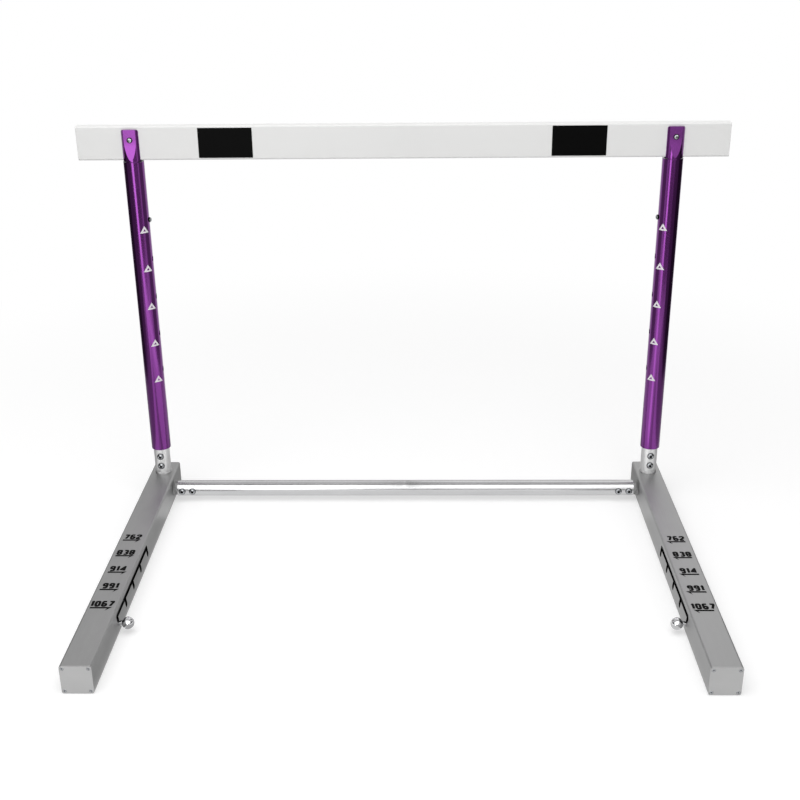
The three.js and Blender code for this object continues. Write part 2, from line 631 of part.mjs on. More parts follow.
function nut() {
  const turned = hexNut().rotateX(-Math.PI / 2);
  return turned.translate(0, BAR_THICKNESS / 2 + WASHER_THICKNESS + SEAT_GAP, BOLT_HEIGHT);
}

// Assembly. The right side is the left side mirrored.
function place(group, name, geometry, material) {
  const mesh = new THREE.Mesh(geometry, material);
  mesh.name = name;
  group.add(mesh);
  return mesh;
}

function frameOfSide(side) {
  const frame = new THREE.Group();
  place(frame, `leg_${side}`, leg(), satinAluminium);
  place(frame, `toe_plate_${side}`, endPlate(), brightAluminium).position.y = -HEEL_Y;
  const heel = place(frame, `heel_plate_${side}`, endPlate().rotateZ(Math.PI), brightAluminium);
  heel.position.y = HEEL_Y;

  const post = new THREE.Group();
  post.position.y = POST_Y;
  place(post, `post_stub_${side}`, weldedStub(), brightAluminium).position.z = LEG_SIZE + SEAT_GAP;
  place(post, `inner_post_${side}`, innerPost(), brightAluminium).position.z = INNER_POST_FOOT;
  ["lower", "upper"].forEach((level, i) => {
    const screw = tubeScrew(SCREW_PLACES[i], INNER_POST_RADIUS);
    place(post, `post_screw_${level}_${side}`, screw, zincSteel).position.z = LEG_SIZE;
  });
  place(post, `button_spring_${side}`, buttonSpring(), springSteel);
  frame.add(post);

  const base = new THREE.Group();
  base.position.set(LEG_FACE, BASE_TUBE_Y, LEG_FACE);
  place(base, `base_stub_${side}`, facingIn(weldedStub()), brightAluminium).position.x = SEAT_GAP;
  ["outer", "inner"].forEach((level, i) => {
    const screw = facingIn(tubeScrew(SCREW_PLACES[i], BASE_TUBE_RADIUS));
    place(base, `base_screw_${level}_${side}`, screw, zincSteel);
  });
  frame.add(base);
  return frame;
}

function movingPiecesOfSide(side) {
  const pieces = new THREE.Group();
  place(pieces, `weight_${side}`, weight(), castWeight);
  place(pieces, `knob_stem_${side}`, knobStem(), chromeSteel);
  place(pieces, `knob_ball_${side}`, knobBall(), chromeSteel);
  place(pieces, `height_button_${side}`, heightButton(), zincSteel).position.y = POST_Y;
  return pieces;
}

function upperOfSide(side) {
  const upper = new THREE.Group();
  upper.position.y = POST_Y;
  place(upper, `outer_post_${side}`, outerPost(), purpleAnodised).position.z = OUTER_POST_FOOT;
  place(upper, `post_head_${side}`, postHead(), purpleAnodised);
  place(upper, `bar_bolt_${side}`, barBolt(), zincSteel);
  place(upper, `bar_washer_${side}`, washer(), zincSteel);
  place(upper, `bar_nut_${side}`, nut(), zincSteel);
  place(upper, `bar_end_cap_${side}`, endCap(), whitePlastic);
  place(upper, `black_panel_${side}`, blackPanel(), blackFilm);
  return upper;
}

const hurdle = new THREE.Group();
for (const [side, mirror] of [["left", 1], ["right", -1]]) {
  const half = new THREE.Group();
  half.position.x = (-mirror * POST_SPACING) / 2;
  half.scale.x = mirror;
  half.add(frameOfSide(side), movingPiecesOfSide(side), upperOfSide(side));
  hurdle.add(half);
}
place(hurdle, "base_tube", baseTube(), brightAluminium).position.set(0, BASE_TUBE_Y, LEG_FACE);
place(hurdle, "crossbar", crossbar(), whitePlastic).position.y = POST_Y;

export default hurdle;
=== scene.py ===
import math
from functools import partial

import bmesh
import bpy
from bpy.props import FloatProperty, FloatVectorProperty, IntProperty, PointerProperty
from mathutils import Matrix, Vector


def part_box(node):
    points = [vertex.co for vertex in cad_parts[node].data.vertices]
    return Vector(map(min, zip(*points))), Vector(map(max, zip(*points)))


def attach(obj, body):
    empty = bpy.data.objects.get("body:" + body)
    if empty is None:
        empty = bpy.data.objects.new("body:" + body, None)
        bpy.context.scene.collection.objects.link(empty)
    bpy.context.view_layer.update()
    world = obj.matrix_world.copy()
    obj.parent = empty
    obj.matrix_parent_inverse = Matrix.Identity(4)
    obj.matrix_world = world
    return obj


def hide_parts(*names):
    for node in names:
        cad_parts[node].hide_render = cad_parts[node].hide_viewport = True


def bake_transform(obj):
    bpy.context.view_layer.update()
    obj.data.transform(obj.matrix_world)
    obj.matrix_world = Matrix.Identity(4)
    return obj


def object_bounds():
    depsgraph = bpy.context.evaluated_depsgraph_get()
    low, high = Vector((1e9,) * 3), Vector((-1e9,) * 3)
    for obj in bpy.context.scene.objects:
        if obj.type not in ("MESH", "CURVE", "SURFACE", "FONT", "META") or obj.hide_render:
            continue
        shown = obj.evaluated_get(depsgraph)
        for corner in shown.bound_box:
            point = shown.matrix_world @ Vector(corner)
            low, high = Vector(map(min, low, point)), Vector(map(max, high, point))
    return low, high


bl_info = {
    "name": "Track hurdle",
    "version": (1, 0, 0),
    "blender": (4, 5, 0),
    "location": "3D View > Sidebar > Hurdle",
    "description": "Builds the finished pieces of a height-adjustable track hurdle round its packed frame",
    "category": "Add Mesh",
}

MM = 0.001
QUARTER = math.pi / 2
SIDES = ("left", "right")
WHITE = (1, 1, 1, 1)

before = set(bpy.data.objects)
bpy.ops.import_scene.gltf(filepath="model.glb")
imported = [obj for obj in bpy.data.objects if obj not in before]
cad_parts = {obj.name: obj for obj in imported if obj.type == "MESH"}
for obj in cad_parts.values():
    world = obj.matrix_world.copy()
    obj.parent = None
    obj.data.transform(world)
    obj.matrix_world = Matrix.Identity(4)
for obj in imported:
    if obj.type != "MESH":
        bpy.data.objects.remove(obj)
CAD_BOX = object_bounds()


def middle(box):
    return (box[0] + box[1]) / 2


# Places of the left side, read from the frame. The right side is its mirror image.
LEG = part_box("leg_left")
TOE_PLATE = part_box("toe_plate_left")
HEEL_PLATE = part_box("heel_plate_left")
OUTER_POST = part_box("outer_post_left")
INNER_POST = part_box("inner_post_left")
BASE_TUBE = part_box("base_tube")
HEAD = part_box("post_head_left")
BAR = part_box("crossbar")
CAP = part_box("bar_end_cap_left")
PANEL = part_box("black_panel_left")
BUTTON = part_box("height_button_left")
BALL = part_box("knob_ball_left")
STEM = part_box("knob_stem_left")
POST_AXIS, LEG_AXIS = middle(OUTER_POST), middle(LEG)
LEG_SIZE = LEG[1].x - LEG[0].x
OUTER_RADIUS = (OUTER_POST[1].x - OUTER_POST[0].x) / 2
INNER_RADIUS = (INNER_POST[1].y - INNER_POST[0].y) / 2

# Small sizes that several pieces share
BOLT_HOLE = 3.3 * MM
NUT_ACROSS = 10 * MM
PRINT_DEPTH = 0.12 * MM
TUBE_SCREW = {"head": 7, "height": 4.4, "rim": 0.9, "socket": 5, "socket_depth": 2.5, "shank": 4, "shank_length": 15}
BAR_BOLT = {"head": 5.25, "height": 3.3, "rim": 0.7, "socket": 4, "socket_depth": 1.9, "shank": 3}
SPRING_BEND, SPRING_LEAF = 4.5 * MM, 1 * MM


def linear(hex_colour):
    """An sRGB hex colour as linear red, green, blue and alpha."""
    parts = [int(hex_colour[i : i + 2], 16) / 255 for i in (1, 3, 5)]
    return tuple(c / 12.92 if c <= 0.04045 else ((c + 0.055) / 1.055) ** 2.4 for c in parts) + (1.0,)


def length(name, description, millimetres):
    return FloatProperty(name=name, description=description, default=millimetres * MM, unit="LENGTH", precision=5)


def colour(name, description, hex_colour):
    return FloatVectorProperty(
        name=name, description=description, subtype="COLOR", size=4, min=0, max=1, default=linear(hex_colour)
    )


class HurdleSizes(bpy.types.PropertyGroup):
    """Sizes of the finished pieces that the frame's boxes don't give."""

    leg_wall: length("Leg wall", "Wall of the box leg", 3)
    leg_corner: length("Leg corner", "Radius of the leg's long edges", 3.5)
    port_inset: length("Screw port inset", "Centre of a screw port from the leg's outer faces", 4.8)
    slot_width: length("Slot width", "Width of the knob's slot and notches", 9.5)
    slot_height: length("Slot height", "Ground to the middle of the long slot", 35.5)
    notch_drop: length("Notch drop", "Middle of the long slot down to a notch's round end", 16.5)
    notch_pitch: length("Notch pitch", "From one notch to the next", 55)
    first_notch: length("First notch", "Toe end to the first notch's round end", 162)
    setting_count: IntProperty(name="Settings", description="Number of height settings", default=5, min=1)
    height_step: length("Height step", "From one height setting to the next", 76.2)
    outer_wall: length("Outer post wall", "Wall of the purple outer post", 2.85)
    inner_wall: length("Inner tube wall", "Wall of the silver posts and of the base tube", 2)
    hole_radius: length("Button hole radius", "Radius of the holes for the height button", 5.1)
    screw_hole: length("Screw hole radius", "Radius of the holes for the tube screws", 4.3)
    first_screw: length("First tube screw", "Leg face to the first tube screw", 19.2)
    screw_pitch: length("Tube screw pitch", "From one tube screw to the next", 21)
    seat_gap: length("Seat gap", "Clearance between a screw head and what it sits on", 0.3)
    bar_wall: length("Bar wall", "Wall of the crossbar", 2.5)
    bar_edge: length("Bar edge", "Radius of the crossbar's long edges", 3.5)
    cap_thickness: length("Cap thickness", "Visible thickness of the bar's end cap", 2.4)
    tongue_flat: length("Tongue flat", "Post axis to the flat front of the tongue", 15.4)
    bolt_below_top: length("Bolt height", "Top of the tongue down to the bar bolt", 19)
    edge_break: length("Edge break", "Width of the small bevel on cut edges", 0.35)
    digit_height: length("Digit height", "Height of the figures on the leg", 17.2)
    digit_pitch: length("Digit pitch", "From one digit to the next, in a figure on the leg", 11.3)
    mark_width: length("Mark width", "Width of a white triangle, measured round the post", 17.6)
    mark_height: length("Mark height", "Height of a white triangle", 13.8)
    mark_below_hole: length("Mark below hole", "Button hole down to the tip of its triangle", 8.5)
    weld_ripple: length("Weld ripple", "Height of the ripples of a weld bead", 0.35)


class HurdleColours(bpy.types.PropertyGroup):
    """Colours of the finishes."""

    leg: colour("Leg", "Satin aluminium of the box legs", "#A6A6A6")
    tube: colour("Silver tubes", "Drawn aluminium of the inner posts and the base tube", "#C6C6C7")
    plate: colour("End plates", "Brushed aluminium of the end plates", "#AEAEAE")
    purple: colour("Purple posts", "Anodised outer posts and post heads", "#7A3588")
    bar: colour("Crossbar", "White plastic of the crossbar", "#E3E3E2")
    film: colour("Panels", "Black film on the crossbar", "#070707")
    zinc: colour("Fasteners", "Zinc plated screws, washers and nuts", "#A9ABAE")
    chrome: colour("Knob", "Chrome plated ball and stem", "#D8D8DA")
    casting: colour("Weight", "Cast iron of the sliding weights", "#56585A")
    spring: colour("Spring", "Tempered steel of the button springs", "#6E7074")
    ink: colour("Figures", "Black print on the legs", "#060606")
    mark: colour("Triangles", "White print on the purple posts", "#E9E6E9")


# Node trees
def add_node(tree, kind, inputs=None, **settings):
    """Adds one node with its settings, and links or sets its inputs. A node as a value gives its first output."""
    node = tree.nodes.new(kind)
    for name, value in settings.items():
        setattr(node, name, value)
    for key, value in (inputs or {}).items():
        if isinstance(value, bpy.types.Node):
            value = value.outputs[0]
        if isinstance(value, bpy.types.NodeSocket):
            tree.links.new(value, node.inputs[key])
        else:
            node.inputs[key].default_value = value
    return node


def calc(tree, operation, *values):
    return add_node(tree, "ShaderNodeMath", dict(enumerate(values)), operation=operation)


def new_material(name, base, **sockets):
    """A node material with a principled shader on its surface."""
    material = bpy.data.materials.new(name)
    material.use_nodes = True
    tree = material.node_tree
    tree.nodes.clear()
    sockets = {key.replace("_", " "): value for key, value in sockets.items()}
    shader = add_node(tree, "ShaderNodeBsdfPrincipled", {"Base Color": base, **sockets})
    add_node(tree, "ShaderNodeOutputMaterial", {"Surface": shader})
    return material, tree, shader


def show_instead(tree, node):
    """Puts another shader on the material's surface."""
    output = next(n for n in tree.nodes if n.type == "OUTPUT_MATERIAL")
    tree.links.new(node.outputs[0], output.inputs["Surface"])


def pattern(tree, kind, spacing, **inputs):
    """A pattern node on Object coordinates, with its features that many metres apart along X, Y and Z."""
    place = add_node(tree, "ShaderNodeTexCoord").outputs["Object"]
    mapping = add_node(tree, "ShaderNodeMapping", {"Vector": place, "Scale": tuple(1 / s for s in spacing)})
    return add_node(tree, kind, {"Vector": mapping, "Scale": 1.0, **inputs})


def along(grain, across, lengthwise):
    """Pattern spacing with the long direction on the grain's axis."""
    return tuple(lengthwise * MM if axis == grain else across * MM for axis in "xyz")


def mix_base(tree, shader, factor, first, second):
    """Lets the base colour run from one colour to another."""
    mix = add_node(tree, "ShaderNodeMix", {"Factor": factor, "A": first, "B": second}, data_type="RGBA")
    tree.links.new(mix.outputs["Result"], shader.inputs["Base Color"])


def tint(tree, shader, base, low, high, factor):
    """Lets the base colour wander a little between two shares of its value."""
    mix_base(tree, shader, factor, *(tuple(min(1.0, c * share) for c in base[:3]) + (1.0,) for share in (low, high)))


def spread(tree, shader, low, high, factor):
    """Maps a pattern to a range of roughness."""
    value = add_node(tree, "ShaderNodeMapRange", {0: factor, 3: low, 4: high})
    tree.links.new(value.outputs[0], shader.inputs["Roughness"])


def relief(tree, shader, height, strength, depth):
    """Turns a pattern into bumps that are depth metres high."""
    bump = add_node(tree, "ShaderNodeBump", {"Strength": strength, "Distance": depth, "Height": height})
    tree.links.new(bump.outputs[0], shader.inputs["Normal"])


def darken_recesses(tree, shader):
    """Paints shade on the faces that a piece marks as recess: they turn almost black, a painted shade for sockets and
    slots.
    """
    clean = shader.inputs["Base Color"].links[0].from_socket
    recess = add_node(tree, "ShaderNodeAttribute", attribute_name="recess").outputs["Fac"]
    # The painted shade's colour: nearly black
    mix_base(tree, shader, recess, clean, linear("#0E0E0E"))


def metal(name, base, roughness, grain, line_gap, line_depth, wander=(0.93, 1.05)):
    """Bare or plated metal with fine lines along its grain and slow clouds of tone and polish."""
    material, tree, shader = new_material(name, base, Metallic=1.0)
    lines = pattern(tree, "ShaderNodeTexNoise", along(grain, line_gap, 220 * line_gap), Detail=3.0, Roughness=0.6)
    clouds = pattern(tree, "ShaderNodeTexNoise", along(grain, 34, 90), Detail=4.0)
    both = calc(tree, "MULTIPLY_ADD", lines, 0.45, clouds)
    even = add_node(tree, "ShaderNodeMapRange", {0: both, 1: 0.45, 2: 1.0})
    tint(tree, shader, base, *wander, even)
    darken_recesses(tree, shader)
    spread(tree, shader, roughness * 0.85, roughness * 1.15, even)
    relief(tree, shader, lines, 0.35, line_depth * MM)
    return material


def sealed_metal(*values):
    """Metal with a clear sealed skin, on which light stretches to thin lines along Z."""
    material = metal(*values)
    tree = material.node_tree
    shader = tree.nodes["Principled BSDF"]
    upright = add_node(tree, "ShaderNodeCombineXYZ", {2: 1.0})
    tree.links.new(upright.outputs[0], shader.inputs["Tangent"])
    for socket, value in (("Anisotropic", 0.35), ("Coat Weight", 0.36), ("Coat Roughness", 0.1)):
        shader.inputs[socket].default_value = value
    return material


def cast(name, base):
    """Grains of a casting that hardly shine."""
    material, tree, shader = new_material(name, base, Metallic=0.6)
    grains = pattern(tree, "ShaderNodeTexVoronoi", along("", 0.9, 0.9))
    clouds = pattern(tree, "ShaderNodeTexNoise", along("", 12, 12), Detail=5.0)
    tint(tree, shader, base, 0.7, 1.2, clouds)
    spread(tree, shader, 0.6, 0.82, clouds)
    relief(tree, shader, grains, 0.6, 0.25 * MM)
    return material


def plastic(name, base, roughness, sink, wander, shine=0.5):
    """Moulded or extruded plastic with a shallow unevenness along X and a fine skin."""
    material, tree, shader = new_material(name, base, IOR=1.5, Specular_IOR_Level=shine)
    waves = pattern(tree, "ShaderNodeTexNoise", along("x", 16, 240), Detail=3.0)
    skin = pattern(tree, "ShaderNodeTexNoise", along("x", 1.4, 2.8), Detail=2.0)
    tint(tree, shader, base, wander, 1.0, waves)
    spread(tree, shader, roughness * 0.85, roughness * 1.15, skin)
    relief(tree, shader, calc(tree, "MULTIPLY_ADD", waves, 1.5, skin), 0.5, sink * MM)
    return material


# Finishes by material name: the slot, the function that makes it, the colour, which is a property or an sRGB
# value, and that function's own values
FINISHES = {
    # Extruded and etched: an even grey satin with faint die lines along the leg
    "satin_extruded_aluminium": ("leg_aluminium", metal, "leg", 0.46, "y", 1.1, 0.02, (0.89, 1.09)),
    # Drawn and etched post: a silver satin that shades softly round the tube
    "satin_drawn_aluminium": ("bright_aluminium", metal, "#E8E8E8", 0.44, "z", 0.9, 0.015),
    # Drawn base tube, left bright: one clear white band of light along the grey tube
    "bright_drawn_aluminium": ("bright_aluminium", metal, "tube", 0.22, "x", 0.9, 0.0006),
    # Cut from sheet and linished: short level scratches that scatter the light sideways
    "brushed_plate_aluminium": ("bright_aluminium", metal, "plate", 0.42, "x", 0.7, 0.02),
    # Bead of filler metal: bright, rough between its ripples
    "welded_aluminium": ("bright_aluminium", metal, "#D2D2D2", 0.34, "z", 2.5, 0.02),
    # The same weld metal painted dull grey as painted shade, so that the bead hardly shows beside the tube
    "etched_weld_aluminium": ("bright_aluminium", metal, "#8E8E8E", 0.5, "z", 2.5, 0.02),
    # Turned, dyed and sealed tube: deep purple metal, with thin lines of light along the post
    "purple_anodised_aluminium": (
        "purple_anodised", sealed_metal, "purple", 0.17, "z", 0.8, 0.002, (0.92, 1.06),
    ),
    # Turned and plated: smooth, a little blue, with fine turning marks
    "zinc_plated_steel": ("zinc_steel", metal, "zinc", 0.13, "z", 0.5, 0.003),
    # Polished and chrome plated: a clear mirror with hardly any haze
    "chromed_steel": ("chrome_steel", metal, "chrome", 0.05, "x", 6, 0.001, (0.97, 1.02)),
    # Rolled strip, blued by tempering: dark satin
    "tempered_spring_steel": ("spring_steel", metal, "spring", 0.36, "z", 0.6, 0.01),
    # Raw sand casting: dark grey grains that hardly shine
    "sand_cast_iron": ("cast_weight", cast, "casting"),
    # Extruded PVC: half matt white with long shallow waves from the die
    "white_extruded_pvc": ("white_plastic", plastic, "bar", 0.52, 0.02, 0.99),
    # Calendered vinyl stuck on the bar: deep black with a soft, slightly uneven sheen
    "black_vinyl_film": ("black_film", plastic, "film", 0.38, 0.03, 0.8, 0.03),
    # Screen printed ink: matt black with a faint mottle where the metal's grain shows through
    "black_screen_ink": ("leg_aluminium", plastic, "ink", 0.55, 0.01, 0.7, 0.06),
    # Screen printed ink on the anodised tube: matt white, a little thin in places
    "white_screen_ink": ("purple_anodised", plastic, "mark", 0.5, 0.01, 0.9),
}


def finish(name):
    """The material of that name, made on first use."""
    found = bpy.data.materials.get(name)
    if found is None:
        make, base, *values = FINISHES[name][1:]
        base = linear(base) if base[0] == "#" else getattr(bpy.context.scene.hurdle_colours, base)
        found = make(name, base, *values)
        found.diffuse_color = base
    return found


# Meshes
def skin(bm, rings, closed=False):
    """Spans quads between rings of vertices, and back to the first ring if closed."""
    for now, then in zip(rings, rings[1:] + rings[:1] if closed else rings[1:]):
        for i in range(len(now)):
            j = (i + 1) % len(now)
            bm.faces.new((now[i], now[j], then[j], then[i]))


def lathe(bm, profile, facets):
    """Turns a profile of radius and height round Z. A radius of zero is a point on the axis."""
    angles = [2 * math.pi * i / facets for i in range(facets)]
    rings = [
        [bm.verts.new((r * math.cos(a), r * math.sin(a), z)) for a in (angles if r > 1e-9 else angles[:1])]
        for r, z in profile
    ]
    for low, high in zip(rings, rings[1:]):
        for i in range(facets):
            j = (i + 1) % facets
            corners = low[i % len(low)], low[j % len(low)], high[j % len(high)], high[i % len(high)]
            unique = list(dict.fromkeys(corners))
            if len(unique) > 2:
                bm.faces.new(unique)
    for ring in (rings[0], rings[-1]):
        if len(ring) > 1 and profile[0] != profile[-1]:
            bm.faces.new(ring)


def prism(bm, outline, low, high):
    """Pulls a flat outline along Z from one height to another."""
    ends = [[bm.verts.new((x, y, z)) for x, y in outline] for z in (low, high)]
    for end in ends:
        bm.faces.new(end)
    skin(bm, ends)


def arc(radius, start, end, steps, rise=None, centre=(0, 0)):
    """Points of an arc from one angle to another, both included. Its rise, if given, makes it elliptic."""
    return [
        (centre[0] + radius * math.cos(a), centre[1] + (rise or radius) * math.sin(a))
        for a in (start + (end - start) * i / steps for i in range(steps + 1))
    ]


def rounded_rectangle(width, height, radius, steps=10):
    outline = []
    for quarter, (sx, sy) in enumerate(((1, 1), (-1, 1), (-1, -1), (1, -1))):
        centre = sx * (width / 2 - radius), sy * (height / 2 - radius)
        outline += arc(radius, QUARTER * quarter, QUARTER * (quarter + 1), steps, centre=centre)
    return outline


def hexagon(across):
    return arc(across / math.sqrt(3), 0, 5 * math.pi / 3, 5)


def pointing(direction, origin):
    """Turns a piece made along +Z to point along a level direction, its X axis upwards, and puts it in place."""
    turn = Vector(direction).to_track_quat("Z", "X")
    return Matrix.Translation(Vector(origin)) @ turn.to_matrix().to_4x4()


def fitted(mesh, direction, box, reach):
    """Points a mesh made along +Z, so that its height of reach lies in the box's far face."""
    axis = 0 if direction[0] else 1
    origin = middle(box)
    origin[axis] = box[direction[axis] > 0][axis] - direction[axis] * reach
    mesh.transform(pointing(direction, origin))
    return mesh


def shape_of(edit, *meshes):
    """The mesh that a function makes in a bmesh, which starts with the given meshes."""
    bm = bmesh.new()
    for mesh in meshes:
        bm.from_mesh(mesh)
    edit(bm)
    shape = bpy.data.meshes.new("shape")
    bm.to_mesh(shape)
    bm.free()
    return shape


def mesh_of(fill, *args, place=Matrix()):
    """A mesh that a function fills in, with its faces turned outwards, put at its place."""

    def edit(bm):
        fill(bm, *args)
        bmesh.ops.remove_doubles(bm, verts=bm.verts, dist=1e-7)
        bmesh.ops.recalc_face_normals(bm, faces=bm.faces)
        bm.transform(place)

    return shape_of(edit)


def rod(radius, low, high, facets, place=Matrix()):
    return mesh_of(lathe, [(0, low), (radius, low), (radius, high), (0, high)], facets, place=place)


def mirrored(mesh):
    """The mesh's mirror image on the other side of the hurdle."""

    def flip(bm):
        bm.transform(Matrix.Diagonal((-1, 1, 1, 1)))
        bmesh.ops.reverse_faces(bm, faces=bm.faces)

    return shape_of(flip, mesh)


def linked(name, data):
    """A new object in the scene."""
    obj = bpy.data.objects.new(name, data)
    bpy.context.scene.collection.objects.link(obj)
    return obj


def settle(obj):
    """The plain mesh that an object's modifiers give. The object is removed."""
    graph = bpy.context.evaluated_depsgraph_get()
    mesh = bpy.data.meshes.new_from_object(obj.evaluated_get(graph), depsgraph=graph)
    bpy.data.objects.remove(obj)
    return mesh


def combine(operation, mesh, *others):
    """Cuts, intersects or joins a mesh with others, one after the other."""
    obj = linked("scratch", mesh)
    tools = [linked("scratch", other) for other in others]
    for tool in tools:
        step = obj.modifiers.new("combine", "BOOLEAN")
        step.operation, step.solver, step.object = operation, "MANIFOLD", tool
    result = settle(obj)
    for tool in tools:
        bpy.data.objects.remove(tool)
    if not result.polygons:
        raise RuntimeError(f"{operation.lower()} left nothing of the mesh")
    return result


cut, common, joined = (partial(combine, operation) for operation in ("DIFFERENCE", "INTERSECT", "UNION"))


def softened(mesh, width, segments=2, angle=35):
    """Breaks the sharp edges with a small bevel."""
    obj = linked("scratch", mesh)
    bevel = obj.modifiers.new("edge break", "BEVEL")
    bevel.width, bevel.segments = width, segments
    bevel.limit_method, bevel.angle_limit = "ANGLE", math.radians(angle)
    return settle(obj)


def shaded(mesh, smooth):
    """Smooth shading up to an angle in degrees, led by the large faces, so that flats and tubes stay true."""
    mesh.polygons.foreach_set("use_smooth", [True] * len(mesh.polygons))
    mesh.set_sharp_from_angle(angle=math.radians(smooth))
    obj = linked("scratch", mesh)
    obj.modifiers.new("even normals", "WEIGHTED_NORMAL").keep_sharp = True
    return settle(obj)


def mark_recess(mesh, is_inside):
    """Marks the faces that lie in a recess and get painted shade, and how much of it each gets."""
    marks = mesh.attributes.get("recess") or mesh.attributes.new("recess", "FLOAT", "FACE")
    for face, mark in zip(mesh.polygons, marks.data):
        mark.value = is_inside(face)


def paint(mesh, finish_name):
    """Gives a whole mesh one finish."""
    mesh.materials.clear()
    mesh.materials.append(finish(finish_name))
    mesh.polygons.foreach_set("material_index", [0] * len(mesh.polygons))


def dress(node, finish_name):
    """Gives a carried-over frame piece its finish."""
    paint(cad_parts[node].data, finish_name)


def add_piece(name, mesh, body, finish_name, node=None, smooth=35):
    """Adds a finished piece at the origin, riding on its body, in place of a frame node."""
    if not mesh.polygons:
        raise RuntimeError(f"{name} has no faces")
    mesh = shaded(mesh, smooth)
    mesh.name = name
    paint(mesh, finish_name)
    obj = linked(name, mesh)
    if body:
        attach(obj, body)
    if node:
        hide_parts(node)
    return obj


def add_pair(name, mesh, body, finish_name, node=None, smooth=35):
    """Adds a piece of the left side and its mirror image. The names of both, and of what they replace, end in the
    side, and so do the bodies that each side has of its own."""
    for side, shape in zip(SIDES, (mesh, mirrored(mesh))):
        own_body = body if body in ("base", "upper") else f"{body}_{side}"
        add_piece(f"{name}_{side}", shape, own_body, finish_name, node and f"{node}_{side}", smooth)


# Geometry Nodes
class Growth:
    """A geometry tree being built: its named inputs as items, and one method for each node that repeats."""

    def __init__(self, name, **inputs):
        self.tree = bpy.data.node_groups.new(name, "GeometryNodeTree")
        kinds = {"Geometry": ["Geometry"], **inputs, "Material": ["Material"]}
        for kind, labels in kinds.items():
            for label in labels:
                self.tree.interface.new_socket(name=label, in_out="INPUT", socket_type=f"NodeSocket{kind}")
        self.tree.interface.new_socket(name="Geometry", in_out="OUTPUT", socket_type="NodeSocketGeometry")
        self.given = self.add("NodeGroupInput")

    def __getitem__(self, name):
        return self.given.outputs[name]

    def add(self, kind, inputs=None, **settings):
        return add_node(self.tree, kind, inputs, **settings)

    def calc(self, operation, *values):
        return calc(self.tree, operation, *values)

    def vector(self, x=0.0, y=0.0, z=0.0):
        return self.add("ShaderNodeCombineXYZ", {0: x, 1: y, 2: z})

    def rod(self, facets, radius, depth):
        return self.add("GeometryNodeMeshCylinder", {"Vertices": facets, "Radius": radius, "Depth": depth})

    def moved(self, shape, by=(0.0, 0.0, 0.0), turn=(0.0, 0.0, 0.0)):
        return self.add("GeometryNodeTransform", {0: shape, "Translation": by, "Rotation": turn})

    def gather(self, node, socket, *shapes):
        """Links several shapes to one socket of a node."""
        for shape in shapes:
            self.tree.links.new(shape.outputs[0], node.inputs[socket])
        return node

    def boolean(self, operation, inputs=None):
        return self.add("GeometryNodeMeshBoolean", inputs, operation=operation, solver="MANIFOLD")

    def copies(self, shape, points, **more):
        made = self.add("GeometryNodeInstanceOnPoints", {"Points": points, "Instance": shape, **more})
        return self.add("GeometryNodeRealizeInstances", {0: made})

    def row(self, shape, step, start=(0.0, 0.0, 0.0), count="Count", **more):
        line = {"Count": self[count], "Start Location": start, "Offset": step}
        return self.copies(shape, self.add("GeometryNodeMeshLine", line), **more)

    def close(self, geometry):
        """Ends the tree: its instances become real, with their material."""
        real = self.add("GeometryNodeRealizeInstances", {0: geometry})
        made = self.add("GeometryNodeSetMaterial", {"Geometry": real, "Material": self["Material"]})
        self.add("NodeGroupOutput", {0: made})
        return self.tree


def grown(make_tree, finish_name, values, start=None):
    """The plain mesh that a tree makes from its named values, starting from a mesh or from nothing."""
    tree = bpy.data.node_groups.get(make_tree.__name__) or make_tree()
    values = {**values, "Material": finish(finish_name)}
    obj = linked("scratch", start or bpy.data.meshes.new("shape"))
    modifier = obj.modifiers.new("grow", "NODES")
    modifier.node_group = tree
    for item in tree.interface.items_tree:
        if item.in_out == "INPUT" and item.name in values:
            modifier[item.identifier] = values[item.name]
    mesh = settle(obj)
    if not mesh.polygons:
        raise RuntimeError(f"{tree.name} made nothing")
    return mesh


def drilled_tube():
    """A round tube along Z with a row of round holes in one side."""
    g = Growth(
        "drilled_tube",
        Vector=["Foot"],
        Int=["Facets", "Hole Count"],
        Float=["Length", "Radius", "Wall", "Hole Radius", "First Hole", "Hole Pitch", "Hole Turn"],
    )
    bore = g.rod(g["Facets"], g.calc("SUBTRACT", g["Radius"], g["Wall"]), g.calc("MULTIPLY", g["Length"], 1.1))
    wall = g.boolean("DIFFERENCE", {0: g.rod(g["Facets"], g["Radius"], g["Length"]), 1: bore})
    standing = g.moved(wall, g.vector(z=g.calc("MULTIPLY", g["Length"], 0.5)))
    drill = g.rod(40, g["Hole Radius"], g.calc("MULTIPLY", g["Radius"], 1.4))
    outside = g.moved(drill, g.vector(z=g.calc("MULTIPLY", g["Radius"], 0.9)))
    turned = g.moved(outside, turn=g.vector(y=QUARTER, z=g["Hole Turn"]))
    drills = g.row(turned, g.vector(z=g["Hole Pitch"]), g.vector(z=g["First Hole"]), "Hole Count")
    return g.close(g.moved(g.boolean("DIFFERENCE", {0: standing, 1: drills}), g["Foot"]))


